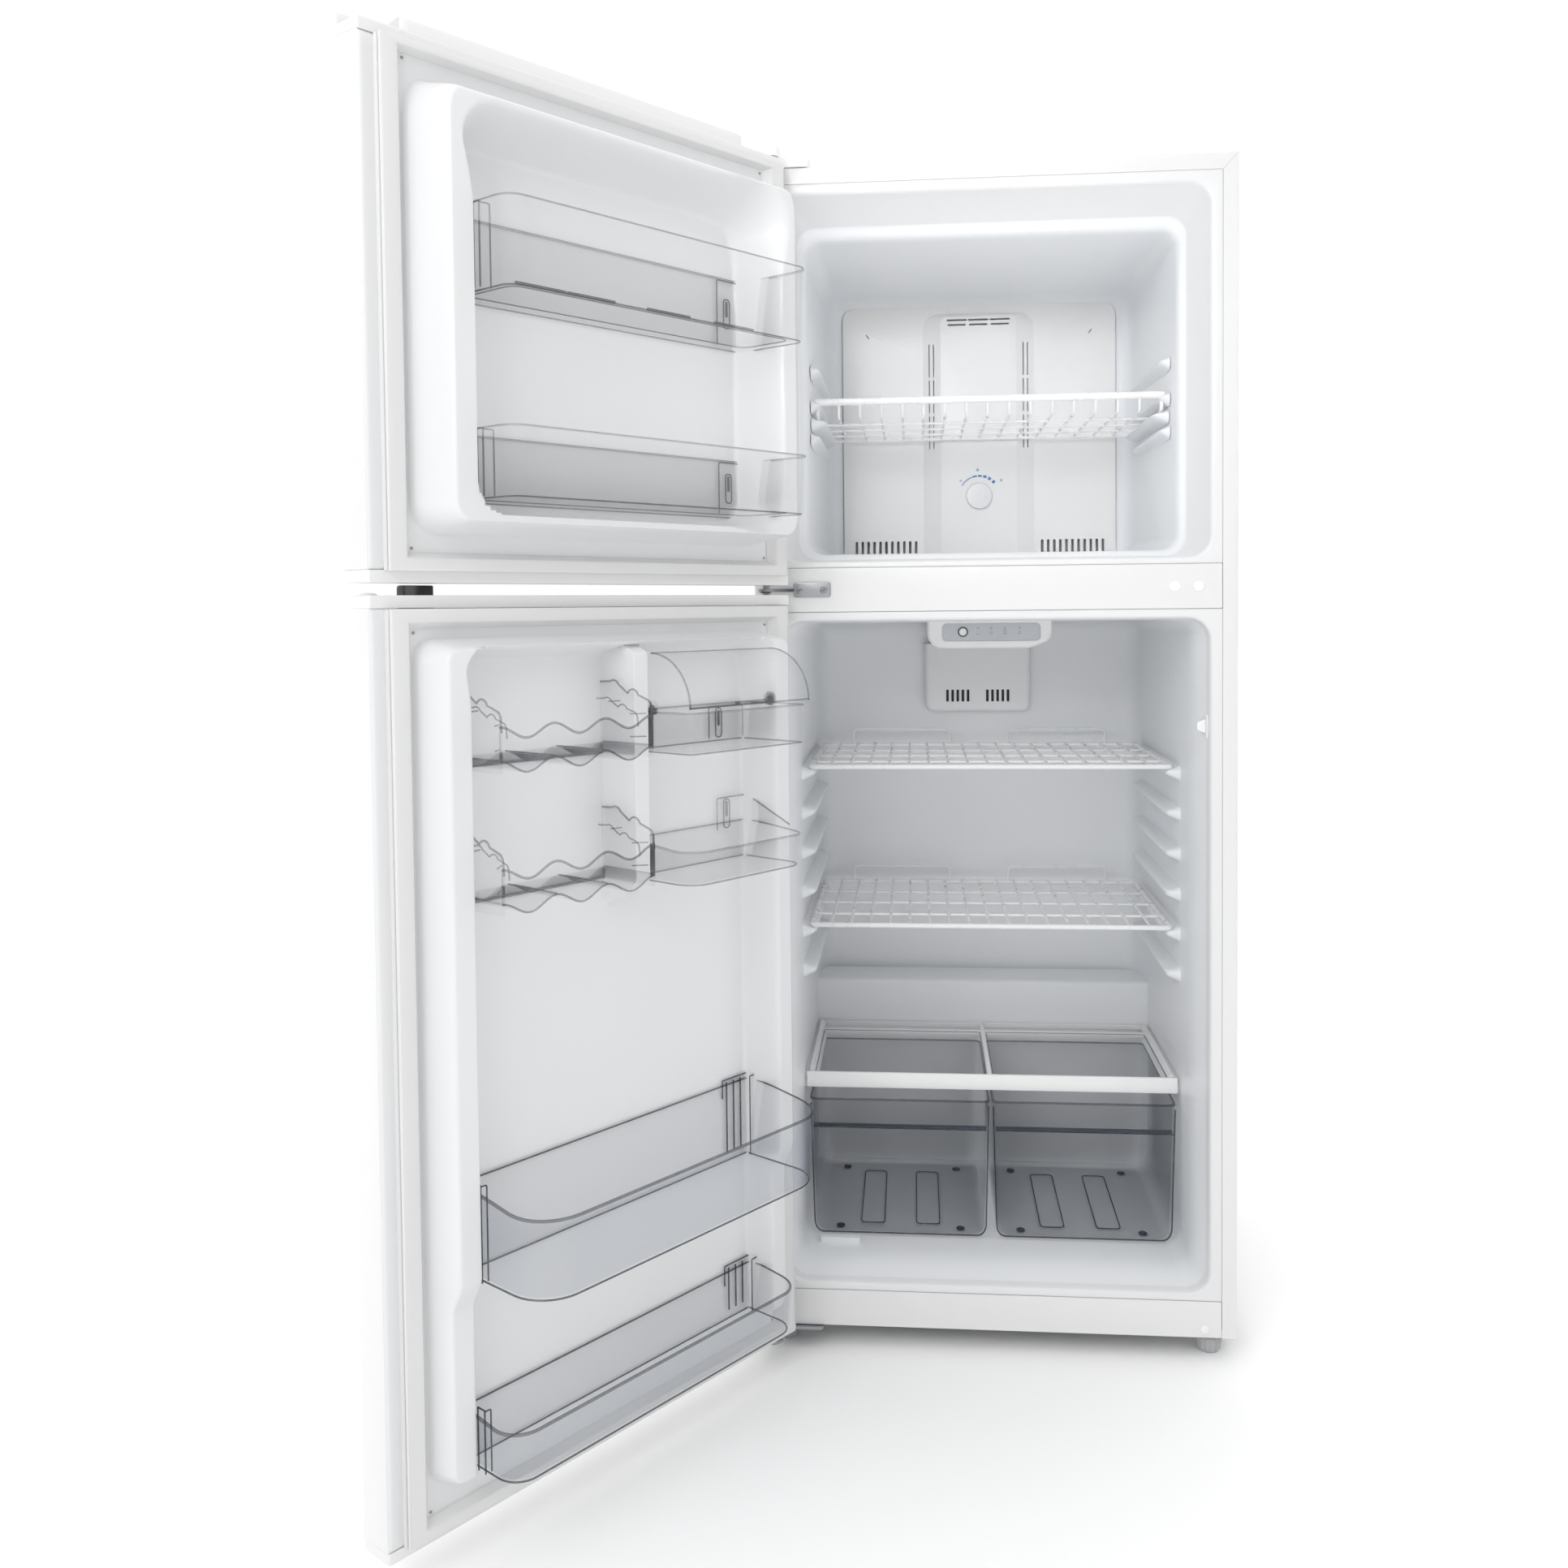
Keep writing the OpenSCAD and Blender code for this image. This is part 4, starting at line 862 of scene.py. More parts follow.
def drawer(name, body, node, x0, x1):
    """Tapered tray: rolled rim, rounded corners, pull lip, and a floor pressed with long pads."""
    bm = bmesh.new()
    y0, y1 = 108.2, 385.8

    def ring(inset, front, back, r, z):
        return lift(rr(x0 + inset, x1 - inset, y0 + front, y1 - back, max(r, 1), 6), "z", z)

    outer = [(287.4, 0.6, 0.6, 0.6, 9), (286.6, 0, 0, 0, 9), (284.6, 0, 0, 0, 9),
             (284, 1.2, 1.0, 1.0, 9), (200, 2.8, 2.0, 3.8, 10), (112, 5.0, 3.4, 5.6, 11),
             (106, 6.2, 4.4, 7, 11), (101, 9, 7, 9.4, 11), (97.8, 14, 12, 13.4, 11)]
    inner = [(99.8, 15, 13.4, 15, 10), (103, 11.4, 9.4, 12, 10), (107.6, 8.6, 6.8, 9.6, 10),
             (113, 7.4, 5.8, 8, 10), (200, 5.2, 4.4, 6.2, 9), (283, 3.6, 3.4, 4, 8),
             (287, 3.0, 2.8, 3.2, 8)]
    rows = [ring(i, f, b, r, z) for z, i, f, b, r in outer]
    rows += [ring(i, f, b, r, z) for z, i, f, b, r in inner]
    made = [[bm.verts.new(p) for p in row] for row in rows]
    n = len(made[0])

    def band(a, b, mat):
        for k in range(n):
            j = (k + 1) % n
            bm.faces.new((a[k], a[j], b[j], b[k])).material_index = mat

    for k in range(len(outer) - 1):
        band(made[k], made[k + 1], 1 if k < 2 else 0)
    for k in range(len(outer), len(made) - 1):
        band(made[k], made[k + 1], 0)
    band(made[-1], made[0], 1)
    bm.faces.new(made[len(outer) - 1])
    bm.faces.new(made[len(outer)][::-1])
    middle = (x0 + x1) / 2
    # painted shade: dark line round the front wall, where the plastic is seen edge on
    front = [(x0 + 1.6, 109.2, 280), (x0 + 5.6, 112, 112), (x0 + 12, 114, 101.4),
             (x1 - 12, 114, 101.4), (x1 - 5.6, 112, 112), (x1 - 1.6, 109.2, 280)]
    tube(bm, round_path(front, 8, 5), 1.0, 6, mat=1)
    for c in (-38, 38):
        loop = [(u, v, 100.2) for u, v in rr(middle + c - 16, middle + c + 16, 150, 335, 6, 4)]
        tube(bm, loop, 0.8, 6, True, mat=1)
    for c, d in ((-82, 140), (82, 140), (-82, 350), (82, 350)):
        lathe(bm, [(0.3, 101.6), (4.4, 101.4), (5.6, 100.6), (5.8, 99.2)], (middle + c, d, 0), "z",
              16, mat=1)
    lip = [(104, 250.4), (98.6, 250.2), (98.2, 251), (98.8, 251.8), (105.5, 252.4),
           (109.8, 253), (109.8, 250.6)]
    prism(bm, lip, "x", x0 + 5, x1 - 5, 0)
    tube(bm, [(x0 + 5, 98.8, 251), (x1 - 5, 98.8, 251)], 0.7, 6, mat=1)
    piece(name, bm, ["smoke", "smoke_rim"], body, replaces=node, weld=False)


cabinet_shell()
front_rail("mullion_plate", MIDDLE_RAIL, "mullion_rail", 13.8)
front_rail("bottom_plate", BOTTOM_RAIL, "bottom_rail", 21.8)
freezer_compartment()
fridge_compartment()
plugs_and_switch()
hinges()
foot("levelling_foot_left", -FOOT_X, "foot_left_body", "foot_left")
foot("levelling_foot_right", FOOT_X, "foot_right_body", "foot_right")
evaporator_front()
duct_and_controls()
wire_shelf("freezer_wire_shelf", "freezer_shelf_body", "freezer_shelf", 224, (103, 368), 1202, 2.5,
           15, 1.7, rail=22)
for level, tag in ((0, "upper"), (4, "lower")):
    wire_shelf("fridge_wire_shelf_" + tag, f"fridge_shelf_{tag}_body", "fridge_shelf_" + tag,
               240, (128, 448), RIB_TOP + 3.8 - RIB_STEP * level, 3.5, 17, 1.9, guards=24)
crisper_lid()
drawer("crisper_drawer_left", "crisper_left_body", "crisper_left", -244, -1.5)
drawer("crisper_drawer_right", "crisper_right_body", "crisper_right", 1.5, 244)


# ---- doors ----
# middles of the slots under the upper freezer bin
SLOT_X = (176, 113, 8, -90)


def door_skin(name, body, node, z):
    """Folded skin: flat outer face, rounded outer corners, chamfered inner edges."""
    half = ([(299.2, -14.2), (HALF_W, -15.4), (HALF_W, -50)]
            + arc(291, -51, 9, 0, -90, 8) + [(0, SKIN_Y)])
    outer = half + [(-u, v) for u, v in half[:-1]][::-1]
    inner = [(u * 0.9965, v + 1.0 if v < -16 else v) for u, v in outer]
    bm = bmesh.new()
    z0, z1 = z[0] + 12.2, z[1] - 12.2
    loops = []
    for outline in (outer, inner):
        loops.append([[bm.verts.new((u, v, h)) for u, v in outline] for h in (z0, z1)])
    count = len(outer)
    for low, high in loops:
        for i in range(count - 1):
            bm.faces.new((low[i], low[i + 1], high[i + 1], high[i]))
    for h in (0, 1):
        a, b = loops[0][h], loops[1][h]
        for i in range(count - 1):
            bm.faces.new((a[i], a[i + 1], b[i + 1], b[i]))
    for i in (0, count - 1):
        bm.faces.new((loops[0][0][i], loops[0][1][i], loops[1][1][i], loops[1][0][i]))
    piece(name, bm, "paint", body, DOOR, replaces=node)


def cap_outline():
    """Plan of a door's end cap: round front corners, square at the cabinet's side."""
    half = [(299.4, -14.2), (HALF_W, -16)] + arc(291, -51, 9, 0, -90, 8) + [(0, SKIN_Y)]
    left = [(-u, v) for u, v in half[:-1]][::-1]
    return half + left + [(-298, -12.6), (298, -12.6)]


def door_cap(name, body, node, z0, z1, top, raised=False, bump=False):
    """Moulded end of a door. raised adds the freezer door's top step and its end block, and
    bump adds the bearing round a hinge pin."""
    bm = bmesh.new()
    sign = 1 if top else -1
    face, root = (z1, z0) if top else (z0, z1)
    rings = []
    for h, inset in ((root, 0), (root + sign * 9.6, 0), (face - sign * 1.6, 0.15),
                     (face - sign * 0.5, 0.8), (face, 2.0)):
        rings.append(lift([((abs(u) - inset) * (1 if u > 0 else -1) if u else 0,
                            v + (inset if v < -30 else -inset * 0.4))
                           for u, v in cap_outline()], "z", h))
    loft(bm, rings)
    if raised:
        h = 1516
        steps = ((1501, 0), (h - 2.4, 0.2), (h - 0.9, 0.8), (h - 0.1, 2.2))
        for a, b, r in (((-232, 252), (-52, -16), 12), ((230, 298), (SKIN_Y, -51.4), 4)):
            loft(bm, [lift(rr(a[0] + i, a[1] - i, b[0] + i, b[1] - i, max(1, r - i), 5), "z", q)
                      for q, i in steps])
        prism(bm, [(265, 1501.5), (251, 1515), (246, 1515.9), (230, 1501.5)], "y", -51.6, -20)
    if bump:
        lathe(bm, [(9, -0.5), (9, 0.4), (7.6, 1.6), (4, 2.4), (0.3, 2.6)],
              (284, -38, face), "z", 28)
    piece(name, bm, "cap", body, DOOR, replaces=node, sharp=30)


def door_lining(name, body, node, z, height, x_fine, z_fine):
    """Vacuum-formed inner sheet, as a height over the door's plane."""
    z0, z1 = z[0] + 12.3, z[1] - 12.3
    edge, x = 3.0, LINING_X
    us = lines(-x, x, [(-x, -295)] + x_fine + [(295, x)], 1.5, 6.5)
    vs = lines(z0, z1, [(z0, z0 + 3)] + z_fine + [(z1 - 3, z1)], 2.0, 8.5)

    def point(u, v):
        rim = min(x - abs(u), v - z0, z1 - v)
        return (u, LINING_Y + height(u, v) - 2 * (1 - smooth(rim / edge)), v)

    bm = bmesh.new()
    grid = surface(bm, us, vs, point)
    border = (grid[0] + [row[-1] for row in grid[1:]] + grid[-1][-2::-1]
              + [row[0] for row in grid[-2:0:-1]])
    back = [bm.verts.new((p.co.x, -14.6, p.co.z)) for p in border]
    n = len(border)
    for i in range(n):
        j = (i + 1) % n
        bm.faces.new((border[i], border[j], back[j], back[i]))
    bm.faces.new(back[::-1])
    piece(name, bm, "door_liner", body, DOOR, replaces=node, sharp=60, weld=False)


def ramped(d, width):
    """Rise from 0 to 1 over width, steep in the middle and rounded at root and crest."""
    return smooth(d / width)


def freezer_height(x, z):
    """Height of the freezer door's lining: a deep ring, and the pads that carry the bins."""
    warped = z if z < 1412 else 1412 + (z - 1412) * 0.5
    outer = inside_rr(x, warped, -RING_X, RING_X, 1026, 1436.5, 30 if z < 1100 else 24)
    # the inner flank is steep at the free side and the bottom, and a long slope elsewhere
    lean = 5 + 34 * smooth((z - 1340) / 80) + 20 * smooth((-x - 120) / 90)
    inner = -inside_rr(x, z, -212, 217, 1047, 1419, 34)
    ring = 62.5 * min(ramped(outer, RING_FLANK), ramped(inner + lean * 0.5, lean))
    pads = 0.0
    for zc in (1084, 1297):
        for s in (-1, 1):
            d = inside_rr(x, z, s * 206 - 7, s * 206 + 7, zc - 12, zc + 12, 6)
            pads = max(pads, 3.0 * smooth(d / 3))
    return max(ring, pads)


def fridge_height(x, z):
    """Height of the fridge door's lining: ridges that grow taller above the drawers, and the
    divider beside the racks."""
    outer = inside_rr(x, z, -RING_X, RING_X, 92, 927, 24)
    lean = 5 + 14 * smooth((z - 860) / 40) + 14 * smooth((-x - 150) / 60)
    inner = -inside_rr(x, z, -213, 216.5, -60, 912, 24)
    ring = min(ramped(outer, RING_FLANK), ramped(inner + lean * 0.5, lean))
    tall = 32 + 14 * smooth((z - 272) / 34)
    low = ring * tall
    d = min(inside_rr(x, 0, -18.5, 13.5, -50, 50, 0.5), 40)
    along = smooth((z - 628) / 36)
    divider = 46 * min(ramped(d, 6), along) if z < 925 else 0.0
    if z >= 880:
        divider *= 1 - smooth((z - 905) / 20)
    return smooth_max(low, divider, 7) - 1.75 * (1 - smooth(abs(low - divider) / 7))


def door_seal(name, body, node, outer, inner):
    """Magnetic seal: dart, bellows and magnet pocket swept round a mitred frame."""
    (x1, z0, z1), (x2, z2, z3) = outer, inner
    section = [(0.0, -12), (0.0, -10.8), (0.05, -9.6), (0.04, -7.6), (0.0, -6.0), (0.09, -5.3),
               (0.09, -4.7), (0.0, -4.0), (0.0, -1.8), (0.02, -0.9), (0.08, -0.42), (0.62, -0.42),
               (0.68, -0.7), (0.72, -1.6), (0.76, -3.4), (0.82, -5.6), (0.89, -7.8), (0.96, -9.8),
               (1.0, -11.0), (1.0, -12)]
    bm = bmesh.new()
    rings = []
    for t, y in section:
        x = x1 + (x2 - x1) * t
        a, b = z0 + (z2 - z0) * t, z1 + (z3 - z1) * t
        rings.append([(-x, y, a), (x, y, a), (x, y, b), (-x, y, b)])
    loft(bm, rings + [rings[0]], False, False)
    piece(name, bm, "gasket", body, DOOR, replaces=node, sharp=50)
    dots = bmesh.new()
    for sx in (-1, 1):
        for q in (z2, z3):
            lathe(dots, [(1.5, -11.9), (1.5, -11.2), (0.2, -11.2)],
                  (sx * (x2 - 4), 0, q + (4 if q == z2 else -4)), "y", 12)
    piece(name + "_corner_pins", dots, "ink", body, DOOR)


def handle(name, body, node, z0, z1):
    """Upright bar with soft edges, on a post at each end."""
    bm = bmesh.new()
    rings = []
    for z, s in ((z0, 0.86), (z0 + 0.8, 0.95), (z0 + 3, 1.0), (z1 - 3, 1.0), (z1 - 0.8, 0.95),
                 (z1, 0.86)):
        ring = [(203 + 14 * s * math.copysign(abs(math.cos(a)) ** 0.55, math.cos(a)),
                 -87 + 7 * s * math.copysign(abs(math.sin(a)) ** 0.7, math.sin(a)), z)
                for a in (2 * math.pi * k / 36 for k in range(36))]
        rings.append(ring)
    loft(bm, rings)
    for q, far in ((z0, z0 + 34), (z1 - 34, z1)):
        soft_block(bm, "z", (192, 214), (-86, SKIN_Y), (q + 0.4, far - 0.4), 4, 1.4)
    piece(name, bm, "handle", body, DOOR, replaces=node, weld=False)


# ---- door bins ----
def tray_outline(x0, x1, y0, y1, r):
    """Plan of a bin: square at the door, round at the front."""
    r = min(r, (x1 - x0) / 2 - 1, (y1 - y0) - 1)
    return ([(x0, y0), (x1, y0), (x1, y0 + (y1 - y0 - r) / 2)]
            + arc(x1 - r, y1 - r, r, 0, 90, 8) + [((x0 + x1) / 2, y1)]
            + arc(x0 + r, y1 - r, r, 90, 180, 8) + [(x0, y0 + (y1 - y0 - r) / 2)])


def tray(bm, x0, x1, y0, y1, z0, z1, r, t, draft, sag=0.0, foot_r=5.0):
    """Moulded bin with a rounded foot, a rolled rim and walls of thickness t. sag lowers the
    rim from the door to the front."""
    def rim_z(y, top):
        return top - sag * smooth((y - y0) / (y1 - y0) * 1.15)

    def row(inset, z, top=False):
        pts = tray_outline(x0 + inset, x1 - inset, y0 + min(inset, t), y1 - inset,
                           max(r - inset, 2))
        return [(u, v, rim_z(v, z) if top else z) for u, v in pts]

    # material 1, the dark edge finish, paints shade on the rolled rim; the foot line below too
    rows = [(row(draft + foot_r, z0), 0), (row(draft + foot_r * 0.35, z0 + 0.6), 0),
            (row(draft + 0.3, z0 + foot_r * 0.6), 0), (row(draft, z0 + foot_r * 1.3), 0),
            (row(0.5, z1 - 3, True), 0), (row(0.0, z1 - 2.2, True), 1),
            (row(0.0, z1 - 0.6, True), 1), (row(0.5, z1, True), 1),
            (row(t + 0.1, z1, True), 1), (row(t + 0.5, z1 - 0.8, True), 0),
            (row(t + draft, z0 + foot_r * 1.3 + 1), 0), (row(t + draft + 1, z0 + t + 1.4), 0),
            (row(t + draft + foot_r, z0 + t), 0)]
    loft(bm, [q for q, _ in rows], mats=[m for _, m in rows][:-1])
    foot = tray_outline(x0 + draft + foot_r * 0.5, x1 - draft - foot_r * 0.5, y0 + 1,
                        y1 - draft - foot_r * 0.5, max(r - draft - foot_r * 0.5, 2))
    tube(bm, [(u, v, z0 + 1.2) for u, v in foot], 0.9, 6, True, mat=1)


def end_tab(bm, x, side, y0, z0, z1, deep=13, gap=9):
    """Upright ribs on the end of a bin, which hook over the lining's pads."""
    for off in (0.0, gap):
        tube(bm, [(x - side * 0.6, y0 + off, z0), (x - side * 0.6, y0 + off, z1)], 0.9, 6, mat=1)
    path = [(x - side * deep, y0 + gap, z0), (x - side * deep, y0 + gap, z1 - 1),
            (x - side, y0 + gap, z1 - 1)]
    tube(bm, round_path(path, 2, 4), 0.8, 6, mat=1)
    tube(bm, [(x - side * 0.6, y0, z1), (x - side * 0.6, y0 + gap, z1)], 0.9, 6, mat=1)


def end_clip(bm, x, side, y0, z0, z1, wide=44):
    """Ribbed end of the back wall with a keyhole-shaped boss."""
    a = sorted((x, x - side * wide))
    mid = x - side * (wide - 17)
    edge = [(u, y0 + 2.4, v) for u, v in ((a[0] + 1, z0 + 2), (a[0] + 1, z1 - 1),
                                          (a[1] - 1, z1 - 1), (a[1] - 1, z0 + 2))]
    tube(bm, round_path(edge, 3, 4), 0.8, 6, mat=1)
    loop = rr(mid - 5, mid + 5, (z0 + z1) / 2 - 17, (z0 + z1) / 2 + 17, 4, 4)
    tube(bm, [(u, y0 + 2.6, v) for u, v in loop], 0.8, 6, True, mat=1)
    tube(bm, [(mid, y0 + 2.6, (z0 + z1) / 2 + 14), (mid, y0 + 2.6, (z0 + z1) / 2 - 3)], 1.4, 8,
         mat=1)


def bin_piece(name, bm, body, node, kind):
    """A see-through piece of a door, with painted shade along its edges in a darker finish."""
    piece(name, bm, [kind, kind + "_rim"], body, DOOR, replaces=node, weld=False)


def freezer_bin(tag, z0, z1, slots):
    """Deep bin across the freezer door. slots adds dark tubes, painted shade, along its bottom
    edge.
    """
    bm = bmesh.new()
    tray(bm, -216, 216, BIN_BACK, 98, z0, z1, 20, 2.4, draft=3.0)
    end_tab(bm, 215.4, 1, 44, z0 + 3, z1 - 1)
    end_clip(bm, -214, -1, -10.6, z0 + 4, z1 - 2)
    ridge = [(u, v, z0 + 2.8) for u, v in rr(-198, 198, 8, 80, 12, 5)]
    tube(bm, ridge, 0.7, 6, True, mat=1)
    if slots:
        # painted shade: each slot is a dark tube of edge finish, not an opening
        for x in SLOT_X:
            tube(bm, [(x - 30, 94.4, z0 + 1.8), (x + 30, 94.4, z0 + 1.8)], 1.7, 8, mat=1)
    bin_piece("freezer_door_bin_" + tag, bm, f"freezer_bin_{tag}_body", f"freezer_bin_{tag}",
              "clear")


def wave_height(x):
    """Height of a rack's floor above its base: three round cradles between x 14 and 214."""
    return 6 + 6 * math.cos((x - 14) / 200 * 6 * math.pi)


def rack(tag, base, body, node):
    """Bottle rack: wavy floor and front, flat back wall, and two hooked end plates."""
    bm = bmesh.new()
    xs = [14.6 + 198.8 * i / 72 for i in range(73)]

    def sheet(y0, y1, low, high):
        """Wavy strip between two heights over the wave line, closed all round."""
        cols = [[bm.verts.new((x, y, base + wave_height(x) + h)) for x in xs]
                for y, h in ((y0, low), (y1, low), (y1, high), (y0, high))]
        for k in range(4):
            a, b = cols[k], cols[(k + 1) % 4]
            for i in range(len(xs) - 1):
                bm.faces.new((a[i], a[i + 1], b[i + 1], b[i]))
        for i in (0, -1):
            bm.faces.new([c[i] for c in cols]).material_index = 1

    sheet(-9, 67.5, 0, 2.2)
    sheet(67.4, 69.8, -0.4, 33)
    for above, r in ((33.4, 1.3), (0.4, 1.0)):
        tube(bm, [(x, 68.6, base + wave_height(x) + above) for x in xs], r, 8, mat=1)
    for peak in (80.7, 147.3):
        tube(bm, [(peak, -8, base + 13.5), (peak, 68, base + 13.5)], 0.8, 8, mat=1)
    soft_block(bm, "y", (14.6, 213.4), (base, base + 12), (BIN_BACK, -8.6), 2, 0.5, 3)
    tube(bm, [(15.4, -9.6, base + 0.8), (212.6, -9.6, base + 0.8)], 1.1, 8, mat=1)
    for x, d in ((14.6, 1), (213.4, -1)):
        end = ([(-10.4, 1), (69.6, 1), (69.8, 40)] + arc(60, 52, 9, -10, 80, 5)
               + arc(40, 62, 9, 20, 150, 6) + arc(10, 70, 10, 30, 120, 5) + [(-10.4, 78)])
        pts = [(y, base + h) for y, h in end]
        cy, cz = 28, base + 34
        loft(bm, [lift([(cy + (y - cy) * s, cz + (z - cz) * s) for y, z in pts], "x", q)
                  for q, s in ((x, 0.985), (x + d * 0.3, 1.0), (x + d * 2.1, 1.0),
                               (x + d * 2.4, 0.985))], mats=[0, 0, 0])
        tube(bm, [(x + d * 1.2, y, z) for y, z in pts[2:]], 1.1, 8, mat=1)
        inner = x + d * 13
        near = [(cy + (y - cy) * 0.8, cz - 5 + (z - cz) * 0.72) for y, z in pts]
        tube(bm, [(inner + d, y, z) for y, z in near[2:]], 0.8, 8, mat=1)
        for y, z in ((60, base + 22), (60, base + 46), (20, base + 58)):
            tube(bm, [(x + d, y, z), (inner + d, y * 0.82, z)], 0.8, 6, mat=1)
    bin_piece("can_rack_" + tag, bm, body, node, "clear")


def dairy_compartment():
    """Box with side ears, and the quarter-round lid that turns on them."""
    bm = bmesh.new()
    axis_y, axis_z = 32, 846
    tray(bm, -210.8, -20.7, BIN_BACK, 89.8, 796.2, 841.8, 9, 2.4, draft=1.5, foot_r=3)
    end_clip(bm, -208, -1, -10.4, 799, 838, 60)
    for x in (-211, -22.9):
        lathe(bm, [(0.3, 0), (7.6, 0), (8, 0.3), (8, 2.1), (7.6, 2.4), (0.3, 2.4)],
              (x, axis_y, axis_z), "x", 28)
    for x, d in ((-210, -1), (-21.5, 1)):
        lathe(bm, [(2.9, 0), (2.9, d * 3.3), (2.3, d * 3.8), (0.3, d * 3.8)],
              (x, axis_y, axis_z), "x", 16, mat=1)
    bin_piece("dairy_tray", bm, "dairy_bin_body", "dairy_bin", "clear")

    bm = bmesh.new()
    outer = arc(axis_y, axis_z, 59.8, 0, 90, 20)
    inner = arc(axis_y, axis_z, 57.5, 90, 0, 20)
    prism(bm, outer + inner, "x", -213.6, -17.9)
    for x in (-213.6, -20.3):
        curve = [(x + 1.1, y, z) for y, z in arc(axis_y, axis_z, 59, 0, 90, 20)]
        tube(bm, curve, 0.9, 8, mat=1)
        lathe(bm, [(3.1, 0), (7.6, 0), (8, 0.3), (8, 2), (7.6, 2.3), (3.1, 2.3)],
              (x, axis_y, axis_z), "x", 28)
    tube(bm, [(-213, 91, 847), (-18.6, 91, 847)], 1.0, 8, mat=1)
    tube(bm, [(-213, 32.6, 905), (-18.6, 32.6, 905)], 0.8, 8, mat=1)
    soft_block(bm, "z", (-150, -90), (88.6, 91.8), (847, 851), 1, 0.5, 3, mat=1)
    bin_piece("dairy_cover", bm, "dairy_lid_body", "dairy_lid", "clear")


def short_tray():
    """Short bin beside the lower rack, with a tall end towards the hinge."""
    bm = bmesh.new()
    tray(bm, -213, -19, BIN_BACK, 92, 655.2, 700, 30, 2.4, draft=2.4, sag=7)
    end_tab(bm, -19.6, 1, -10.6, 658, 706, 8, 8)
    end_clip(bm, -212, -1, -10.4, 690, 730, 52)
    side = [(-8, 698), (60, 694), (60, 700), (-8, 730)]
    prism(bm, side, "x", -212.8, -210.6)
    tube(bm, [(-211.7, -8, 730), (-211.7, 60, 699)], 1.0, 8, mat=1)
    bin_piece("short_door_tray", bm, "short_bin_body", "short_bin", "clear")


def deep_tray(name, body, node, y1, z0, z1, r, sag, tab_z):
    """Smoke-coloured bin across the fridge door; its rim sags towards the front."""
    bm = bmesh.new()
    tray(bm, -214, 214, BIN_BACK, y1, z0, z1, r, 2.6, draft=3.4, sag=sag, foot_r=6)
    end_tab(bm, 213.2, 1, 14, z0 + 2, tab_z, 8, 11)
    end_tab(bm, -213.2, -1, -10.6, z0 + 2, tab_z, 10, 11)
    for off in (18, 30, 42):
        tube(bm, [(-214 + off, -8.6, z0 + 12), (-214 + off, -8.6, tab_z - 3)], 1.0, 8, mat=1)
    soft_block(bm, "y", (-213.4, -166), (z1 - 2, tab_z), (BIN_BACK, -8.4), 2, 0.5, 3)
    tube(bm, [(-213, -9.6, tab_z), (-166, -9.6, tab_z), (-166, -9.6, z1 - 16)], 0.9, 8, mat=1)
    bin_piece(name, bm, body, node, "smoke")


for tag, z, fn, xf, zf in (
        ("freezer", (980, 1502), freezer_height, [(-257, -186), (212, 257)],
         [(1024, 1064), (1072, 1098), (1284, 1312), (1380, 1465)]),
        ("fridge", (38, 968), fridge_height, [(-257, -196), (-24, 20), (211, 257)],
         [(88, 120), (268, 308), (626, 668), (884, 930)])):
    body = tag + "_door"
    door_skin(tag + "_door_skin", body, (tag + "_door_panel", tag + "_door_foam"), z)
    door_cap(tag + "_top_end_cap", body, tag + "_door_cap_top", z[1] - 12, z[1], True,
             raised=tag == "freezer", bump=tag == "fridge")
    door_cap(tag + "_bottom_end_cap", body, tag + "_door_cap_bottom", z[0], z[0] + 12, False)
    door_lining(tag + "_door_lining", body, tag + "_door_liner", z, fn, xf, zf)
door_seal("freezer_door_seal", "freezer_door", "freezer_door_gasket", (283, 991, 1490),
          (256, 1009, 1479))
door_seal("fridge_door_seal", "fridge_door", "fridge_door_gasket", (283, 50, 955),
          (256, 66, 936))
handle("freezer_pull", "freezer_door", "freezer_door_handle", 984, 1280)
handle("fridge_pull", "fridge_door", "fridge_door_handle", 600, 979)
freezer_bin("upper", 1254, 1338, True)
freezer_bin("lower", 1058, 1126, False)
rack("upper", 797, "bottle_rack_upper_body", "bottle_rack_upper")
rack("lower", 661, "bottle_rack_lower_body", "bottle_rack_lower")
dairy_compartment()
short_tray()
deep_tray("large_door_tray", "large_bin_body", "large_bin", 118, 293, 386, 50, 12, 391.6)
deep_tray("lower_door_tray", "lower_bin_body", "lower_bin", 72, 102, 160, 32, 6, 167.6)


# ---- every CAD node gets its finish; those shown are welded, a few get rounded edges ----
EDGE = {"base_panel": 0.4, "back_panel": 0.5, "compressor": 1.5, "fan_motor": 1.0,
        "cord_gland": 1.0, "roller_left": 1.0, "roller_right": 1.0}
for node_name, node in nodes.items():
    node.data.materials.clear()
    node.data.materials.append(M[FINISH[node_name]])
    if not node.hide_render:
        weld = node.modifiers.new("weld", "WELD")
        weld.merge_threshold = 1e-5
        if node_name in EDGE:
            mod = node.modifiers.new("edges", "BEVEL")
            mod.width, mod.segments = EDGE[node_name] * MM, 2
            mod.limit_method, mod.angle_limit = "ANGLE", math.radians(50)

# ---- floor, light and camera ----
floor_mesh = bpy.data.meshes.new("floor")
floor_mesh.from_pydata([(-30, -30, 0), (30, -30, 0), (30, 30, 0), (-30, 30, 0)], [],
                       [(0, 1, 2, 3)])
floor = bpy.data.objects.new("floor", floor_mesh)
scene.collection.objects.link(floor)
floor_mesh.materials.append(material("floor_pale", grey(0.985), 0.75, 0.002, 2.0, 200, 0.02, 0.0003,
                                     0.05, spec=0.1))

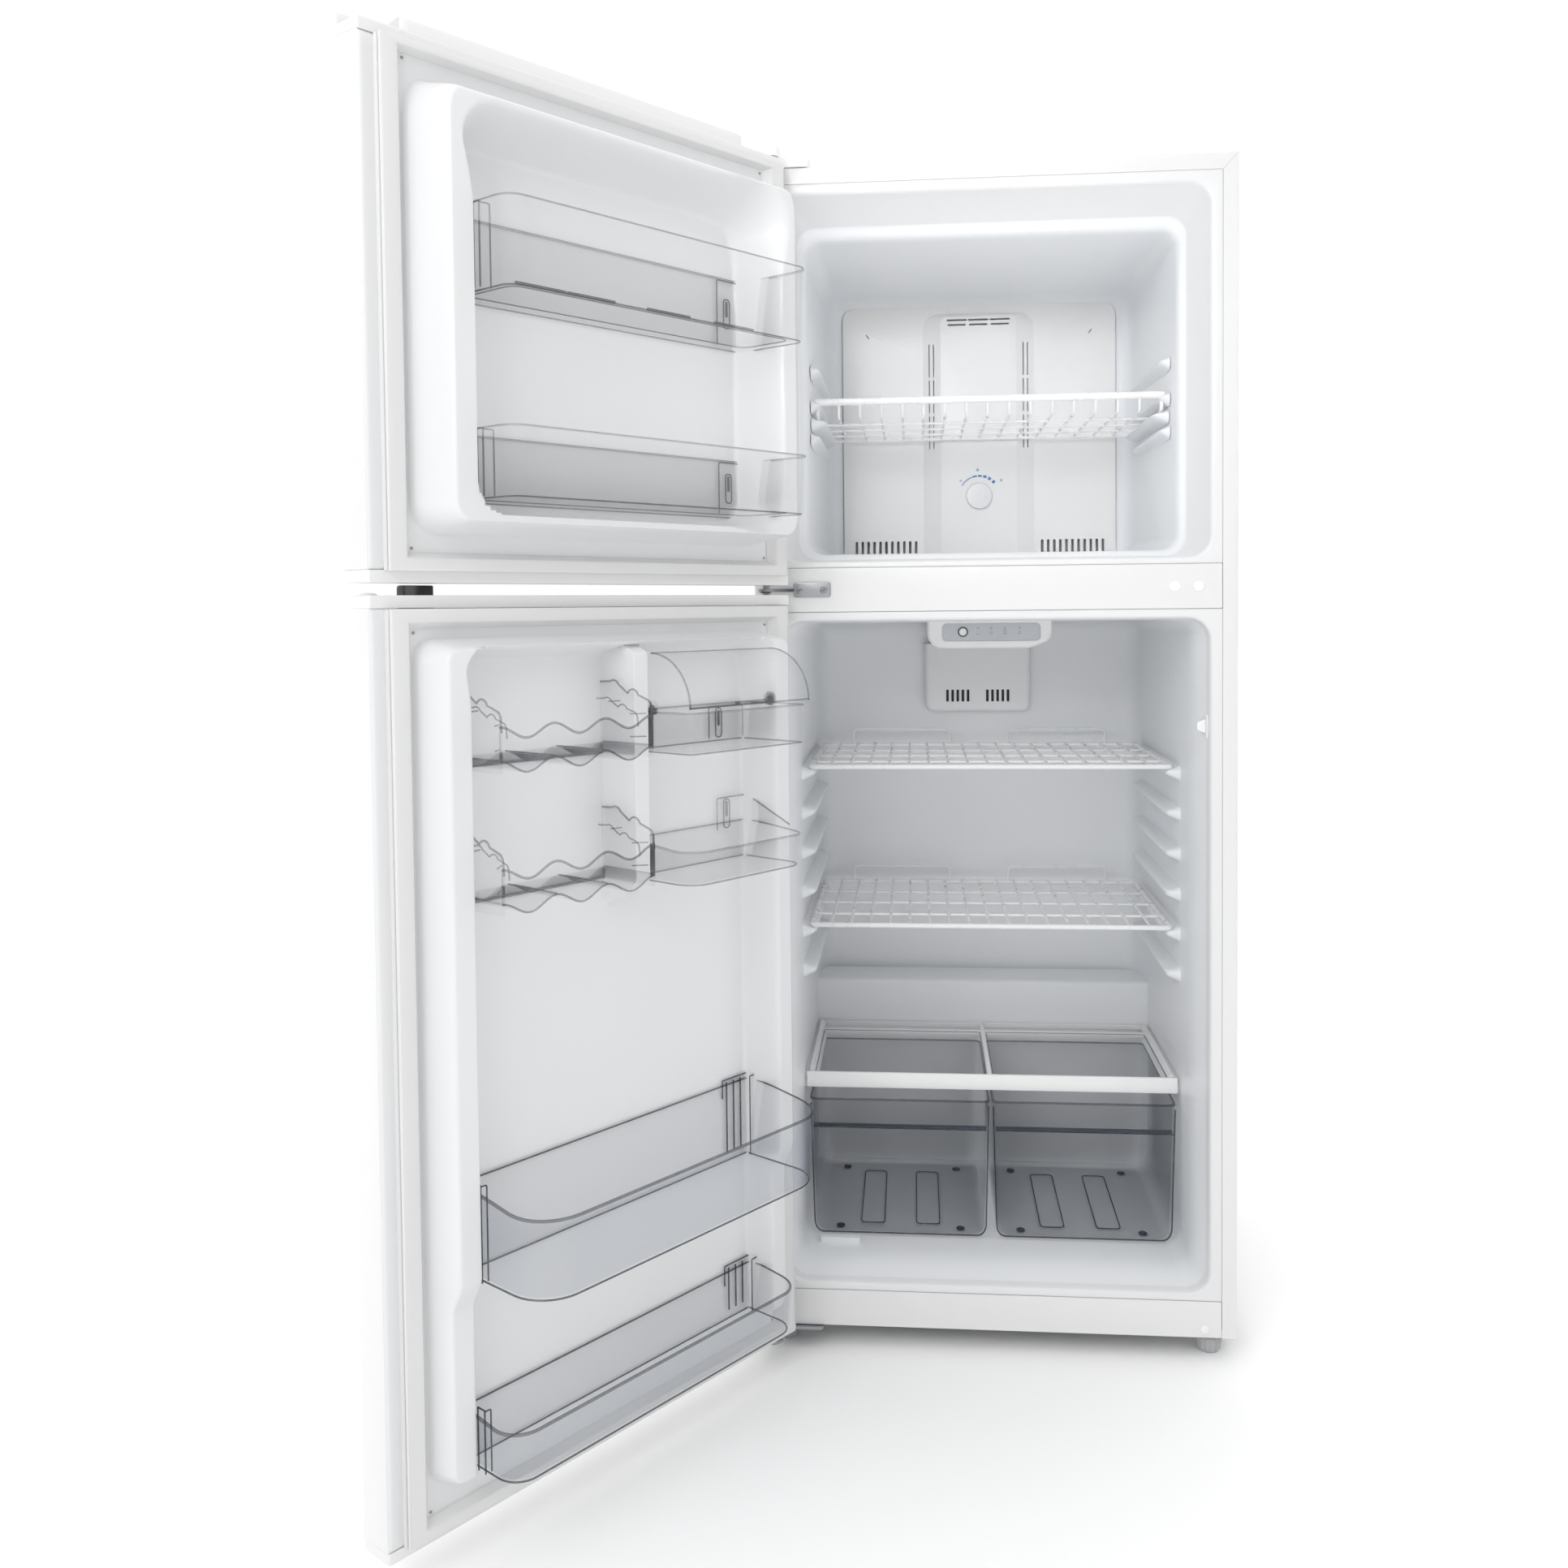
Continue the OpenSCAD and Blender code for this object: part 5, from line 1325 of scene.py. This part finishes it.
world = bpy.data.worlds.new("studio")
scene.world = world
world.use_nodes = True
background = world.node_tree.nodes["Background"]
socket_set(background, {"Color": (1.0, 1.0, 1.0, 1)})
heading = world.node_tree.nodes.new("ShaderNodeTexCoord").outputs["Generated"]
split = world.node_tree.nodes.new("ShaderNodeSeparateXYZ")
world.node_tree.links.new(heading, split.inputs["Vector"])


def sky_range(value, lo, hi, out_lo, out_hi):
    made = world.node_tree.nodes.new("ShaderNodeMapRange")
    made.interpolation_type = "SMOOTHSTEP"
    socket_set(made, {"From Min": lo, "From Max": hi, "To Min": out_lo, "To Max": out_hi})
    world.node_tree.links.new(value, made.inputs["Value"])
    return made.outputs["Result"]


# soft studio: white behind the object, dimmer behind the viewer, brightest overhead
around = sky_range(split.outputs["Y"], -0.4, 0.35, 0.36, 1.02)
rise = sky_range(split.outputs["Z"], 0.25, 0.9, 0.0, 1.0)
blend = world.node_tree.nodes.new("ShaderNodeMix")
blend.data_type = "FLOAT"
blend.inputs[3].default_value = 1.35
world.node_tree.links.new(rise, blend.inputs[0])
world.node_tree.links.new(around, blend.inputs[2])
world.node_tree.links.new(blend.outputs[0], background.inputs["Strength"])


def area(name, where, target, size, power):
    data = bpy.data.lights.new(name, "AREA")
    data.shape, data.size, data.size_y = "RECTANGLE", size[0], size[1]
    data.energy = power
    made = bpy.data.objects.new(name, data)
    scene.collection.objects.link(made)
    made.location = where
    made.rotation_mode = "QUATERNION"
    made.rotation_quaternion = (Vector(target) - Vector(where)).to_track_quat("-Z", "Y")
    return made


area("key_left", (-2.2, -2.6, 2.4), (-0.3, 0.1, 0.9), (1.4, 1.4), 10)
area("fill_right", (2.4, -2.4, 1.8), (-0.4, -0.2, 0.8), (1.6, 2.0), 1.5)
area("front_left", (-1.25, -2.7, 2.0), (-0.25, 0.3, 0.9), (1.3, 1.3), 14.5)
freezer_fill = area("freezer_fill", (-0.62, -2.3, 1.75), (-0.27, 0.2, 1.27), (0.5, 0.5), 0.3)
freezer_fill.data.spread = math.radians(24)

camera_data = bpy.data.cameras.new("camera")
camera = bpy.data.objects.new("camera", camera_data)
scene.collection.objects.link(camera)
scene.camera = camera
camera_data.sensor_width = 36
camera_data.lens = 33.418
camera_data.shift_x = 0.00161
camera_data.shift_y = -0.07729
camera_data.clip_start, camera_data.clip_end = 0.05, 60
yaw, pitch, roll = -0.0912, -0.0382, -0.0103
ahead = Vector((math.sin(yaw) * math.cos(pitch), math.cos(yaw) * math.cos(pitch),
                math.sin(pitch)))
level = Vector((math.cos(yaw), -math.sin(yaw), 0))
upright = level.cross(ahead)
right = level * math.cos(roll) + upright * math.sin(roll)
upright = upright * math.cos(roll) - level * math.sin(roll)
camera.matrix_world = Matrix(((right.x, upright.x, -ahead.x, -0.368322),
                              (right.y, upright.y, -ahead.y, -1.868669),
                              (right.z, upright.z, -ahead.z, 0.953023), (0, 0, 0, 1)))
scene.view_settings.view_transform = "Standard"
scene.view_settings.look = "None"
